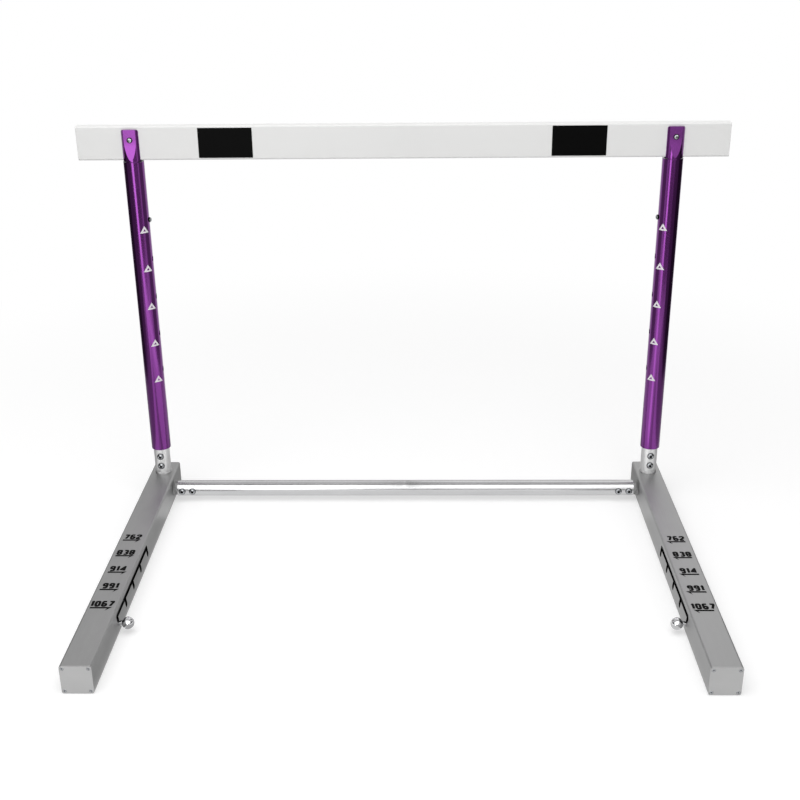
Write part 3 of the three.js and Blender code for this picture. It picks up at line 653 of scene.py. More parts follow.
def notched_leg():
    """Cuts the knob's long slot and its row of slanted notches into the inner wall of a leg."""
    g = Growth(
        "notched_leg", Vector=["Wall Middle"], Int=["Count"], Float=["Wall", "Slot Width", "Drop", "Lean", "Pitch"]
    )
    pin = g.rod(32, g.calc("MULTIPLY", g["Slot Width"], 0.5), g.calc("MULTIPLY", g["Wall"], 3.0))
    across = g.moved(pin, turn=(0.0, QUARTER, 0.0))
    run = g.calc("MULTIPLY", g["Pitch"], g.calc("SUBTRACT", g["Count"], 1.0))
    drop = g.vector(0.0, g["Lean"], g.calc("MULTIPLY", g["Drop"], -1.0))
    notch, slot = (
        g.add("GeometryNodeConvexHull", {0: g.gather(g.add("GeometryNodeJoinGeometry"), 0, across, end)})
        for end in (g.moved(across, drop), g.moved(across, g.vector(y=run)))
    )
    cutter = g.gather(g.boolean("UNION"), 1, slot, g.row(notch, g.vector(y=g["Pitch"])))
    return g.close(g.boolean("DIFFERENCE", {0: g["Geometry"], 1: g.moved(cutter, g["Wall Middle"])}))


def corner_screws():
    """Puts a screw in each corner of a square, each turned by its own chance angle."""
    g = Growth("corner_screws", Vector=["Centre"], Int=["Seed"], Float=["Spacing"])
    size = g["Spacing"]
    square = g.add("GeometryNodeMeshGrid", {"Size X": size, "Size Y": size, "Vertices X": 2, "Vertices Y": 2})
    angle = g.add("FunctionNodeRandomValue", {2: 0.0, 3: QUARTER, "Seed": g["Seed"]}, data_type="FLOAT")
    screws = g.copies(g["Geometry"], square, Rotation=g.vector(z=angle.outputs[1]))
    return g.close(g.moved(screws, g["Centre"], (QUARTER, 0.0, 0.0)))


def marks_on_post():
    """Repeats a flat mark down a post and wraps it round the tube."""
    g = Growth("marks_on_post", Vector=["Axis"], Int=["Count"], Float=["Radius", "Turn", "Top", "Pitch"])
    marks = g.row(g["Geometry"], g.vector(z=g.calc("MULTIPLY", g["Pitch"], -1.0)), g.vector(z=g["Top"]))
    flat = g.add("ShaderNodeSeparateXYZ", {0: g.add("GeometryNodeInputPosition")})
    reach = g.calc("SUBTRACT", g["Radius"], flat.outputs[1])
    angle = g.calc("ADD", g["Turn"], g.calc("DIVIDE", flat.outputs[0], g["Radius"]))
    east = g.calc("MULTIPLY", reach, g.calc("SINE", angle))
    north = g.calc("MULTIPLY", g.calc("MULTIPLY", reach, g.calc("COSINE", angle)), -1.0)
    round_post = g.vector(east, north, flat.outputs[2])
    wrapped = g.add("GeometryNodeSetPosition", {"Geometry": marks, "Position": round_post})
    return g.close(g.moved(wrapped, g["Axis"]))


def arrow_row():
    """Repeats a flat arrow along the leg. The first one, under the longest figure, is longer."""
    g = Growth("arrow_row", Vector=["Start"], Int=["Count"], Float=["Pitch", "First Longer"])
    first = g.calc("LESS_THAN", g.add("GeometryNodeInputIndex"), 0.5)
    scale = g.vector(g.calc("MULTIPLY_ADD", first, g["First Longer"], 1.0), 1.0, 1.0)
    arrows = g.row(g["Geometry"], g.vector(y=g["Pitch"]), Scale=scale)
    return g.close(g.moved(arrows, g["Start"]))


# Operators, one for each piece or group of like pieces
class PieceOperator(bpy.types.Operator):
    """What the operators share."""

    bl_options = {"REGISTER", "UNDO"}


def notch_lean(sizes):
    """How far a notch's round end lies behind its mouth: the notch slants by 18 degrees."""
    return sizes.notch_drop * math.tan(math.radians(18))


def first_notch_y(sizes):
    return TOE_PLATE[0].y + sizes.first_notch


def corners_at(reach):
    """Places in the four corners of a square round the origin."""
    return [Matrix.Translation((x * reach, y * reach, 0)) for x in (-1, 1) for y in (-1, 1)]


def box_leg(sizes):
    """The extruded leg before its slot is cut: a square tube with a round screw port in each corner."""
    run, inside = LEG[1].y - LEG[0].y, LEG_SIZE - 2 * sizes.leg_wall
    port_radius, inner_corner = 3.9 * MM, 0.6 * MM
    outline = rounded_rectangle(LEG_SIZE, LEG_SIZE, sizes.leg_corner)
    cavity = rounded_rectangle(inside, inside, inner_corner, 3)
    tube = cut(mesh_of(prism, outline, 0, run), mesh_of(prism, cavity, -run, 2 * run))
    ports = [rod(port_radius, 0, run, 24, place) for place in corners_at(LEG_SIZE / 2 - sizes.port_inset)]
    return fitted(common(joined(tube, *ports), mesh_of(prism, outline, 0, run)), (0, 1, 0), LEG, run)


def slot_lips(sizes):
    """Tells whether a face was cut through the leg's inner wall round the slot and its notches."""
    margin = 0.05 * MM
    across = LEG[1].x - sizes.leg_wall - margin, LEG[1].x - margin
    start = first_notch_y(sizes) - 3 * sizes.slot_width
    along_leg = start, start + (sizes.setting_count + 1) * sizes.notch_pitch
    above_ground = 3 * MM, sizes.slot_height + sizes.slot_width

    def is_inside(face):
        ranges = zip(face.center, (across, along_leg, above_ground))
        return abs(face.normal.x) < 0.5 and all(low < c < high for c, (low, high) in ranges)

    return is_inside


class HURDLE_OT_legs(PieceOperator):
    """Box legs with the knob's slot and its slanted notches"""

    bl_idname = "hurdle.legs"
    bl_label = "Legs"

    def execute(self, context):
        sizes = context.scene.hurdle_sizes
        lean = notch_lean(sizes)
        values = {
            "Wall Middle": (LEG[1].x - sizes.leg_wall / 2, first_notch_y(sizes) - lean, sizes.slot_height),
            "Wall": sizes.leg_wall,
            "Slot Width": sizes.slot_width,
            "Drop": sizes.notch_drop,
            "Lean": lean,
            "Pitch": sizes.notch_pitch,
            "Count": sizes.setting_count,
        }
        leg = grown(notched_leg, "satin_extruded_aluminium", values, box_leg(sizes))
        leg = softened(leg, 0.6 * sizes.edge_break)
        # Painted shade on the cut lips of the slot and its notches
        mark_recess(leg, slot_lips(sizes))
        add_pair("box_leg", leg, "base", "satin_extruded_aluminium", "leg")
        return {"FINISHED"}


def cross_screw():
    """A countersunk screw with a cross slot, its head's face at the origin and facing +Z."""
    head, shank, end = 2.85 * MM, 1.4 * MM, -12 * MM
    top, below = -0.15 * MM, 1.5 * MM
    slot_length, slot_width, slot_depth = 3.4 * MM, 0.75 * MM, 1.1 * MM
    profile = [(0, end), (shank * 0.6, end), (shank, end + MM), (shank, -below), (head, top - 0.1 * MM),
               (head - 0.1 * MM, top), (0, top)]
    arms = [
        mesh_of(prism, rounded_rectangle(wide, high, 0.2 * MM, 3), top - slot_depth, 2 * MM)
        for wide, high in ((slot_length, slot_width), (slot_width, slot_length))
    ]
    screw = cut(mesh_of(lathe, profile, 28), *arms)
    # Painted shade in the cross slot
    mark_recess(screw, lambda face: face.center.z < top - 0.05 * MM and face.center.xy.length < head - 0.3 * MM)
    return screw


class HURDLE_OT_end_plates(PieceOperator):
    """End plates of the legs, with their countersunk screws"""

    bl_idname = "hurdle.end_plates"
    bl_label = "End plates"

    def execute(self, context):
        sizes = context.scene.hurdle_sizes
        thickness = TOE_PLATE[1].y - TOE_PLATE[0].y
        reach = LEG_SIZE / 2 - sizes.port_inset
        hole, sink, past = 1.9 * MM, 3.1 * MM, 2 * thickness
        drill = [(0, -MM), (hole, -MM), (hole, thickness - (sink - hole)), (sink, thickness), (sink, past), (0, past)]
        plate = mesh_of(prism, rounded_rectangle(LEG_SIZE, LEG_SIZE, sizes.leg_corner), 0, thickness)
        drills = [mesh_of(lathe, drill, 32, place=place) for place in corners_at(reach)]
        plate = softened(cut(plate, *drills), 0.25 * MM)

        def in_countersink(face):
            x, y, z = face.center
            return 0 < z < thickness - 0.3 * MM and math.hypot(abs(x) - reach, abs(y) - reach) < sink

        # Painted shade in the countersinks
        mark_recess(plate, in_countersink)
        for seed, (end, box, facing) in enumerate((("toe", TOE_PLATE, -1), ("heel", HEEL_PLATE, 1))):
            shape = fitted(plate.copy(), (0, facing, 0), box, thickness)
            add_pair(f"brushed_{end}_plate", shape, "base", "brushed_plate_aluminium", f"{end}_plate")
            screw = cross_screw()
            if end == "heel":
                screw.transform(Matrix.Rotation(math.pi, 4, "X"))
            centre = LEG_AXIS.x, box[facing > 0].y, LEG_AXIS.z
            values = {"Centre": centre, "Spacing": 2 * reach, "Seed": seed}
            screws = grown(corner_screws, "zinc_plated_steel", values, screw)
            add_pair(f"{end}_plate_screws", screws, "base", "zinc_plated_steel")
        return {"FINISHED"}


class HURDLE_OT_outer_posts(PieceOperator):
    """Purple outer posts with their row of button holes"""

    bl_idname = "hurdle.outer_posts"
    bl_label = "Outer posts"

    def execute(self, context):
        sizes = context.scene.hurdle_sizes
        foot, mouth = OUTER_POST[0].z, OUTER_POST[1].z
        values = {
            "Foot": (POST_AXIS.x, POST_AXIS.y, foot),
            "Length": mouth - foot,
            "Radius": OUTER_RADIUS,
            "Wall": sizes.outer_wall,
            "Facets": 96,
            "Hole Radius": sizes.hole_radius,
            "First Hole": middle(BUTTON).z - foot - (sizes.setting_count - 1) * sizes.height_step,
            "Hole Pitch": sizes.height_step,
            "Hole Count": sizes.setting_count,
            "Hole Turn": 0.0,
        }
        post = softened(grown(drilled_tube, "purple_anodised_aluminium", values), sizes.edge_break)
        # Painted shade on the top face of the post's mouth, where the tongue enters it
        mark_recess(post, lambda face: face.center.z > mouth - 0.5 * MM and face.normal.z > 0.3)
        add_pair("purple_post", post, "upper", "purple_anodised_aluminium", "outer_post")
        return {"FINISHED"}


def welded_halves(half):
    """A half that starts at x = 0 and its mirror image as one closed mesh."""

    def open_seam(bm):
        for vert in bm.verts:
            if abs(vert.co.x) < MM:
                vert.co.x = 0
        seam = [face for face in bm.faces if not any(vert.co.x for vert in face.verts)]
        bmesh.ops.delete(bm, geom=seam, context="FACES")

    half = shape_of(open_seam, half)
    return shape_of(lambda bm: bmesh.ops.remove_doubles(bm, verts=bm.verts, dist=1e-6), half, mirrored(half))


class HURDLE_OT_silver_tubes(PieceOperator):
    """Silver inner posts and the base tube between the legs"""

    bl_idname = "hurdle.silver_tubes"
    bl_label = "Silver tubes"

    def execute(self, context):
        sizes = context.scene.hurdle_sizes
        foot, half = INNER_POST[0].z, BASE_TUBE[1].x
        shared = {
            "Wall": sizes.inner_wall,
            "Facets": 96,
            "Hole Radius": sizes.screw_hole,
            "Hole Pitch": sizes.screw_pitch,
            "Hole Count": 2,
        }
        values = {
            **shared,
            "Foot": (POST_AXIS.x, POST_AXIS.y, foot),
            "Length": INNER_POST[1].z - foot,
            "Radius": INNER_RADIUS,
            "First Hole": LEG[1].z + sizes.first_screw - foot,
            "Hole Turn": -QUARTER,
        }
        post = softened(grown(drilled_tube, "satin_drawn_aluminium", values), sizes.edge_break)
        add_pair("silver_post", post, "base", "satin_drawn_aluminium", "inner_post")
        values = {
            **shared,
            "Foot": (0.0, 0.0, 0.0),
            "Length": half,
            "Radius": (BASE_TUBE[1].z - BASE_TUBE[0].z) / 2,
            "First Hole": -LEG[1].x - sizes.first_screw - sizes.screw_pitch,
            "Hole Turn": QUARTER,
        }
        run = fitted(grown(drilled_tube, "bright_drawn_aluminium", values), (1, 0, 0), BASE_TUBE, half)
        run = welded_halves(softened(run, sizes.edge_break))
        add_piece("silver_base_tube", run, "base", "bright_drawn_aluminium", "base_tube")
        return {"FINISHED"}


def weld_bead(sizes, bore, width, height):
    """A ring of overlapping ripples round a stub, its foot on the leg at z = 0."""
    ripples, over = 46, 10
    around = ripples * 6

    def fill(bm):
        rings = []
        for i in range(around):
            angle = 2 * math.pi * i / around
            lift = sizes.weld_ripple * (abs(math.sin(ripples * angle / 2)) - 1)
            turns = [QUARTER * k / (over - 1) for k in range(over)]
            section = [
                (bore + (width + lift) * math.cos(a) ** 0.6, (height + lift) * math.sin(a) ** 0.6) for a in turns
            ]
            section.append((bore, 0))
            rings.append([bm.verts.new((out * math.cos(angle), out * math.sin(angle), up)) for out, up in section])
        skin(bm, rings, closed=True)

    return mesh_of(fill)


class HURDLE_OT_welds(PieceOperator):
    """Rippled weld beads where the stubs stand on the legs"""

    bl_idname = "hurdle.welds"
    bl_label = "Weld beads"

    def execute(self, context):
        sizes = context.scene.hurdle_sizes
        bore = INNER_RADIUS - sizes.inner_wall - sizes.seat_gap - 0.2 * MM
        post = weld_bead(sizes, bore, 3.4 * MM, INNER_POST[0].z - LEG[1].z - 0.1 * MM)
        post.transform(Matrix.Translation((POST_AXIS.x, POST_AXIS.y, LEG[1].z)))
        add_pair("post_weld", post, "base", "welded_aluminium")
        base = weld_bead(sizes, bore, 0.9 * MM, BASE_TUBE[0].x - LEG[1].x - 0.05 * MM)
        base.transform(pointing((1, 0, 0), (LEG[1].x, middle(BASE_TUBE).y, middle(BASE_TUBE).z)))
        # The base welds get the weld metal with painted shade
        add_pair("base_weld", base, "base", "etched_weld_aluminium")
        for side in SIDES:
            dress(f"post_stub_{side}", "satin_drawn_aluminium")
            # The base stubs get the same painted shade
            dress(f"base_stub_{side}", "etched_weld_aluminium")
        return {"FINISHED"}


def button_screw(painted_shade, **millimetres):
    """A button-head screw with a hexagon socket, its head standing on z = 0, with painted shade in its socket and on
    its rim.
    """
    names = "head", "height", "rim", "socket", "socket_depth", "shank", "shank_length"
    head, height, rim, socket, socket_depth, shank, tip = (millimetres[name] * MM for name in names)
    low = 0.25 * MM
    profile = [(0, -tip), (shank * 0.8, -tip), (shank, -tip + shank * 0.2), (shank, 0), (head - low, 0), (head, low),
               *arc(head, 0, QUARTER, 12, height - rim, (0, rim))[:-1], (0, height)]
    recess = mesh_of(prism, hexagon(socket), height - socket_depth, 2 * height)
    screw = softened(cut(mesh_of(lathe, profile, 48), recess), 0.15 * MM, 2, 40)
    floor = height - socket_depth - 0.1 * MM

    # How much painted shade a face gets: the socket's walls get the first share, the rim the second
    def depth_of_grime(face):
        z, out = face.center.z, face.center.xy.length
        if floor < z < height - 0.2 * MM and out < socket * 0.56:
            return painted_shade[0]
        return painted_shade[1] if 0 < z and out > 0.72 * head else 0.0

    mark_recess(screw, depth_of_grime)
    return screw


def hex_nut(across, height):
    """A nut with both crowns chamfered and a clear hole."""
    corner, chamfer = across / math.sqrt(3), across * 0.1
    edge, rise = corner - chamfer, chamfer * 0.58
    crown = [(0, 0), (edge, 0), (corner, rise), (corner, height - rise), (edge, height), (0, height)]
    blank = common(mesh_of(prism, hexagon(across), 0, height), mesh_of(lathe, crown, 64))
    return cut(blank, rod(BOLT_HOLE, -height, 2 * height, 32))


class HURDLE_OT_fasteners(PieceOperator):
    """Button-head screws of the tubes, and the bolt, washer and nut behind the crossbar"""

    bl_idname = "hurdle.fasteners"
    bl_label = "Fasteners"

    def execute(self, context):
        zinc, front, back = "zinc_plated_steel", (0, -1, 0), (0, 1, 0)
        # Painted shade: full in the screws' sockets, half on their rims
        screw = button_screw((1.0, 0.5), **TUBE_SCREW)
        for node in ("post_screw_lower", "post_screw_upper", "base_screw_outer", "base_screw_inner"):
            shape = fitted(screw.copy(), front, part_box(f"{node}_left"), TUBE_SCREW["height"] * MM)
            add_pair(f"button_{node}", shape, "base", zinc, node)
        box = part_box("bar_bolt_left")
        shank_length = (box[1].y - box[0].y) / MM - BAR_BOLT["height"]
        # Painted shade on the bolt: half in its socket, almost full on its rim
        bolt = button_screw((0.5, 0.95), **BAR_BOLT, shank_length=shank_length)
        add_pair("bolt_of_bar", fitted(bolt, front, box, BAR_BOLT["height"] * MM), "upper", zinc, "bar_bolt")
        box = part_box("bar_washer_left")
        radius, thickness = (box[1].x - box[0].x) / 2, box[1].y - box[0].y
        ring = [(BOLT_HOLE, 0), (radius, 0), (radius, thickness), (BOLT_HOLE, thickness), (BOLT_HOLE, 0)]
        washer = fitted(softened(mesh_of(lathe, ring, 64), 0.2 * MM), back, box, thickness)
        add_pair("washer_of_bar", washer, "upper", zinc, "bar_washer")
        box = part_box("bar_nut_left")
        height = box[1].y - box[0].y
        add_pair("nut_of_bar", fitted(hex_nut(NUT_ACROSS, height), back, box, height), "upper", zinc, "bar_nut", 25)
        return {"FINISHED"}


class HURDLE_OT_post_heads(PieceOperator):
    """Post heads: a spigot with a tongue, cut on the slant to a flat for the bolt"""

    bl_idname = "hurdle.post_heads"
    bl_label = "Post heads"

    def execute(self, context):
        sizes = context.scene.hurdle_sizes
        radius, wide = OUTER_RADIUS, 2 * OUTER_RADIUS
        spigot_radius = radius - sizes.outer_wall - sizes.seat_gap
        mouth, top, back = OUTER_POST[1].z, HEAD[1].z, (BAR[1].y - BAR[0].y) / 2
        bolt_z, tongue_corner = top - sizes.bolt_below_top, 4.5 * MM
        front = [(-wide, -wide), (wide, -wide), (wide, -back), (-wide, -back)]

        def segment(r, low, high):
            return common(rod(r, low, high, 128), mesh_of(prism, front, low - MM, high + MM))

        # The tongue, its lower part inside the post's mouth, and the spigot below it
        half = math.sqrt(radius**2 - back**2)
        outline = rounded_rectangle(2 * (top - mouth), 2 * half, tongue_corner)
        sides = mesh_of(prism, outline, -wide, wide, place=pointing((0, -1, 0), (0, 0, mouth)))
        joint, shelf = mouth + 1.8 * MM, mouth - 10 * MM
        tongue = common(segment(radius, joint, top), sides)
        neck = segment(spigot_radius, shelf - MM, joint + 0.5 * MM)
        head = joined(tongue, neck, rod(spigot_radius, HEAD[0].z, shelf, 96))

        # The slanted cut runs out into the flat in a gentle bend, as long below its top as above
        flat, scarf_foot, run_out = sizes.tongue_flat, mouth + 3.4 * MM, 8 * MM
        lean = math.atan2(radius - flat, bolt_z - run_out - scarf_foot)
        bend = run_out / math.tan(lean / 2)
        blend = arc(bend, lean, 0, 6, -bend, (-flat - bend, bolt_z))
        slope = [(-radius, scarf_foot), *blend, (-flat, top + MM), (-wide, top + MM), (-wide, scarf_foot)]
        on_side = Matrix(((0, 0, 1, 0), (1, 0, 0, 0), (0, 1, 0, 0), (0, 0, 0, 1)))
        wedge = mesh_of(prism, slope, -wide, wide, place=on_side)
        hole = rod(BOLT_HOLE, 0, wide, 40, pointing((0, -1, 0), (0, 0, bolt_z)))
        head = softened(cut(head, wedge, hole), 0.45 * MM, 3, 25)
        head.transform(Matrix.Translation((POST_AXIS.x, POST_AXIS.y, 0)))
        add_pair("scarfed_head", head, "upper", "purple_anodised_aluminium", "post_head", 6)
        return {"FINISHED"}


class HURDLE_OT_crossbar(PieceOperator):
    """White crossbar with its end caps and black panels"""

    bl_idname = "hurdle.crossbar"
    bl_label = "Crossbar"

    def execute(self, context):
        sizes = context.scene.hurdle_sizes
        half, depth, height = BAR[1].x, BAR[1].y - BAR[0].y, BAR[1].z - BAR[0].z
        axis_y, bolt_z = middle(BAR).y, HEAD[1].z - sizes.bolt_below_top
        turn = pointing((1, 0, 0), (0, axis_y, middle(BAR).z))

        def bar_block(margin, low, high):
            outline = rounded_rectangle(height - 2 * margin, depth - 2 * margin, max(sizes.bar_edge - margin, MM))
            return mesh_of(prism, outline, low, high, place=turn)

        holes = [
            rod(BOLT_HOLE, -depth, depth, 32, pointing((0, -1, 0), (x, axis_y, bolt_z)))
            for x in (POST_AXIS.x, -POST_AXIS.x)
        ]
        bar = cut(bar_block(0, -half, half), bar_block(sizes.bar_wall, -2 * half, 2 * half), *holes)
        add_piece("white_crossbar", softened(bar, 0.2 * MM), "upper", "white_extruded_pvc", "crossbar")
        cover = bar_block(0, CAP[0].x, CAP[0].x + sizes.cap_thickness)
        plug = bar_block(sizes.bar_wall + sizes.seat_gap, CAP[0].x + MM, CAP[1].x)
        cap = softened(joined(cover, plug), 0.5 * MM, 3)
        add_pair("white_end_cap", cap, "upper", "white_extruded_pvc", "bar_end_cap")
        size = PANEL[1] - PANEL[0]
        panel = mesh_of(prism, rounded_rectangle(size.z, size.x, 0.8 * MM, 4), 0, size.y)
        panel = softened(fitted(panel, (0, -1, 0), PANEL, size.y), PRINT_DEPTH)
        add_pair("black_film", panel, "upper", "black_vinyl_film", "black_panel")
        return {"FINISHED"}


class HURDLE_OT_knobs(PieceOperator):
    """Chrome ball knobs on their stems, and the weights inside the legs"""

    bl_idname = "hurdle.knobs"
    bl_label = "Knobs and weights"

    def execute(self, context):
        sizes = context.scene.hurdle_sizes
        out, radius, bore = (1, 0, 0), (BALL[1].z - BALL[0].z) / 2, sizes.slot_width / 2
        bore_end = -radius + 10 * MM
        ball_skin = arc(radius, -math.acos(bore / radius), QUARTER, 40)[:-1]
        ball = mesh_of(lathe, [(0, bore_end), (bore, bore_end), *ball_skin, (0, radius)], 64)
        ball = fitted(softened(ball, 0.2 * MM, 2, 50), out, BALL, radius)
        add_pair("chrome_ball", ball, "knob", "chromed_steel", "knob_ball", 50)
        stem, head_radius = bore - sizes.seat_gap, (STEM[1].z - STEM[0].z) / 2
        long, head = STEM[1].x - STEM[0].x, 4 * MM
        profile = [(0, 0), (head_radius, 0), (head_radius, head), (stem, head), (stem, long), (0, long)]
        pin = fitted(softened(mesh_of(lathe, profile, 48), 0.25 * MM), out, STEM, long)
        add_pair("chrome_stem", pin, "knob", "chromed_steel", "knob_stem")
        for side in SIDES:
            dress(f"weight_{side}", "sand_cast_iron")
        return {"FINISHED"}


def v_spring(bm, box):
    """A steel strip bent to a V that stands on its bend, drawn in the XY plane round its box's middle."""
    half, deep, top = (box[1] - box[0]) / 2
    foot, steps = SPRING_BEND - top, 16

    def line(inset):
        """The strip's outer face, or its inner face one leaf further in, from one end to the other."""
        radius = SPRING_BEND - inset
        spread_out, rise = half - inset - radius, top - foot
        leaf = [(radius + spread_out * i / steps, foot + rise * i / steps) for i in range(1, steps + 1)]
        return leaf[::-1] + arc(radius, 0, -math.pi, steps, centre=(0, foot)) + [(-x, y) for x, y in leaf]

    rings = [
        [bm.verts.new((*point, z)) for point, z in zip((a, b, b, a), (-deep, -deep, deep, deep))]
        for a, b in zip(line(0), line(SPRING_LEAF))
    ]
    skin(bm, rings)
    for end in (rings[0], rings[-1]):
        bm.faces.new(end)


class HURDLE_OT_height_buttons(PieceOperator):
    """Domed buttons that lock the outer posts, and their springs"""

    bl_idname = "hurdle.height_buttons"
    bl_label = "Height buttons"

    def execute(self, context):
        sizes = context.scene.hurdle_sizes
        gap = 0.35 * MM
        shank, flange = sizes.hole_radius - gap, (BUTTON[1].z - BUTTON[0].z) / 2
        reach, dome, thickness = BUTTON[1].x - BUTTON[0].x, 3.2 * MM, 1.4 * MM
        profile = [(0, 0), (flange, 0), (flange, thickness), (shank, thickness),
                   *arc(shank, 0, QUARTER, 12, dome, (0, reach - dome))[:-1], (0, reach)]
        button = mesh_of(lathe, profile, 48)
        # Painted shade and painted dark reflection on the flank below the dome's tip, so only the tip stays light
        mark_recess(button, lambda face: face.center.z < reach - 2.4 * MM)
        button = fitted(button, (1, 0, 0), BUTTON, reach)
        add_pair("domed_button", button, "button", "zinc_plated_steel", "height_button", 40)
        for side, sign in zip(SIDES, (1, -1)):
            node = f"button_spring_{side}"
            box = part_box(node)
            centre = middle(box)
            spring = mesh_of(v_spring, box, place=Matrix.Translation(centre) @ Matrix.Rotation(QUARTER, 4, "X"))
            piece = add_piece(f"v_spring_{side}", spring, None, "tempered_spring_steel", node, 50)
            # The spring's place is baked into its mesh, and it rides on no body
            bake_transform(piece)
        return {"FINISHED"}


# Corner points of the figures' strokes, in a cell that is one wide and two high
CUT = 0.22
STROKES = {
    "0": [[(0, CUT), (0, 2 - CUT), (CUT, 2), (1 - CUT, 2), (1, 2 - CUT), (1, CUT), (1 - CUT, 0), (CUT, 0), (0, CUT)]],
    "1": [[(0, 1.6), (1, 2), (1, 0)]],
    "2": [[(0, 1.6), (0, 2 - CUT), (CUT, 2), (1 - CUT, 2), (1, 2 - CUT), (1, 1.25), (0, 0.4), (0, 0), (1, 0)]],
    "3": [
        [(0, 2), (1 - CUT, 2), (1, 2 - CUT), (1, 1 + CUT), (1 - CUT, 1), (1, 1 - CUT), (1, CUT), (1 - CUT, 0), (0, 0)],
        [(0.35, 1), (1 - CUT, 1)],
    ],
    "4": [[(0.72, 0), (0.72, 2), (0, 0.62), (0, 0.5), (1, 0.5)]],
    "6": [
        [(1, 2), (CUT, 2), (0, 2 - CUT), (0, CUT), (CUT, 0), (1 - CUT, 0), (1, CUT), (1, 1 - CUT), (1 - CUT, 1),
         (0, 1)],
    ],
    "7": [[(0, 2), (1, 2), (1, 1.7), (0.4, 0)]],
    "8": [
        [(0, CUT), (0, 1 - CUT), (CUT, 1), (1 - CUT, 1), (1, 1 - CUT), (1, CUT), (1 - CUT, 0), (CUT, 0), (0, CUT)],
        [(CUT, 1), (0, 1 + CUT), (0, 2 - CUT), (CUT, 2), (1 - CUT, 2), (1, 2 - CUT), (1, 1 + CUT), (1 - CUT, 1)],
    ],
}
STROKES["9"] = [[(1 - x, 2 - y) for x, y in STROKES["6"][0]]]
# Room that a figure takes, where that isn't one pitch
ROOM = {"1": 0.62, "4": 1.2}


def figure_mesh(text, height, pitch, stroke):
    """A printed number as a thin slab of heavy strokes, its foot's middle at the origin."""
    rooms = [ROOM.get(figure, 1.0) * pitch for figure in text]
    outlines = []
    for place, (figure, room) in enumerate(zip(text, rooms)):
        left = sum(rooms[:place]) - sum(rooms) / 2 + 0.62 * stroke
        wide = room - 1.25 * stroke
        for line in STROKES[figure]:
            points = [Vector((left + x * wide, stroke / 2 + y / 2 * (height - stroke))) for x, y in line]
            for start, end in zip(points, points[1:]):
                side = (end - start).normalized().orthogonal() * stroke / 2
                outlines.append([start - side, end - side, end + side, start + side])
            outlines += [arc(stroke / 2, 0.1, 0.1 + math.pi * 15 / 8, 15, centre=corner) for corner in points[1:-1]]
    return joined(*(mesh_of(prism, outline, 0, PRINT_DEPTH) for outline in outlines))


def half_arrow(width, toward):
    """A line with half an arrowhead under its inner end, centred on the origin."""
    half_line, head_length, head_drop = 2.05 * MM, 9.5 * MM, 6 * MM
    tip, tail = toward * width / 2, -toward * width / 2
    outline = [
        (tail, -half_line),
        (tail, half_line),
        (tip, half_line),
        (tip - toward * head_length, -half_line - head_drop),
        (tip - toward * head_length * 0.75, -half_line),
    ]
    return mesh_of(prism, outline, 0, PRINT_DEPTH)


# The printing on each leg: the side, which way its arrows point, and in millimetres the figures and the arrows
# beside the leg's axis, both along it, and an arrow's length. The first arrow is longer by the last share.
LEG_PRINTS = (
    ("left", 1, -1.1, -0.7, 2.5, 33.3, 0.12),
    ("right", -1, 0.4, -1.1, -3.2, 34.2, 0.0),
)


class HURDLE_OT_leg_figures(PieceOperator):
    """Height figures printed on the legs, each with an arrow to its notch"""

    bl_idname = "hurdle.leg_figures"
    bl_label = "Leg figures"

    def execute(self, context):
        sizes = context.scene.hurdle_sizes
        stroke, above_arrow = 4.4 * MM, 3.1 * MM
        lowest, pitch, count = CAD_BOX[1].z, sizes.notch_pitch, sizes.setting_count
        heights = [round((lowest + i * sizes.height_step) / MM) for i in reversed(range(count))]
        first = first_notch_y(sizes) - notch_lean(sizes)
        for side, toward, figure_x, arrow_x, shift, arrow_length, longer in LEG_PRINTS:
            axis_x, start = toward * LEG_AXIS.x, first + shift * MM
            figures = []
            for i, height in enumerate(heights):
                figure = figure_mesh(str(height), sizes.digit_height, sizes.digit_pitch, stroke)
                place = axis_x + figure_x * MM, start + i * pitch + above_arrow, LEG[1].z
                figure.transform(Matrix.Translation(place))
                figures.append(figure)
            all_figures = shape_of(lambda bm: None, *figures)
            add_piece(f"height_figures_{side}", all_figures, "base", "black_screen_ink")
            place = axis_x + arrow_x * MM, start, LEG[1].z
            values = {"Start": place, "Pitch": pitch, "Count": count, "First Longer": longer}
            arrows = grown(arrow_row, "black_screen_ink", values, half_arrow(arrow_length * MM, toward))
            add_piece(f"notch_arrows_{side}", arrows, "base", "black_screen_ink")
        return {"FINISHED"}


def pointer_mark(width, height, window):
    """A flat triangle with a triangular window, its tip at the origin and its print facing -Y."""
    corners = [Vector((0, 0)), Vector((-width / 2, -height)), Vector((width / 2, -height))]
    centre = sum(corners, Vector((0, 0))) / 3
    steps, layers = 14, 5
    rim = [corners[k].lerp(corners[(k + 1) % 3], i / steps) for k in range(3) for i in range(steps)]
    rows = [[point.lerp(centre, (1 - window) * j / layers) for point in rim] for j in range(layers + 1)]

    def fill(bm):
        grids = [[[bm.verts.new((p.x, y, p.y)) for p in row] for row in rows] for y in (0, -PRINT_DEPTH)]
        for grid in grids:
            skin(bm, grid)
        for edge in (0, layers):
            skin(bm, [grid[edge] for grid in grids])

    return mesh_of(fill)


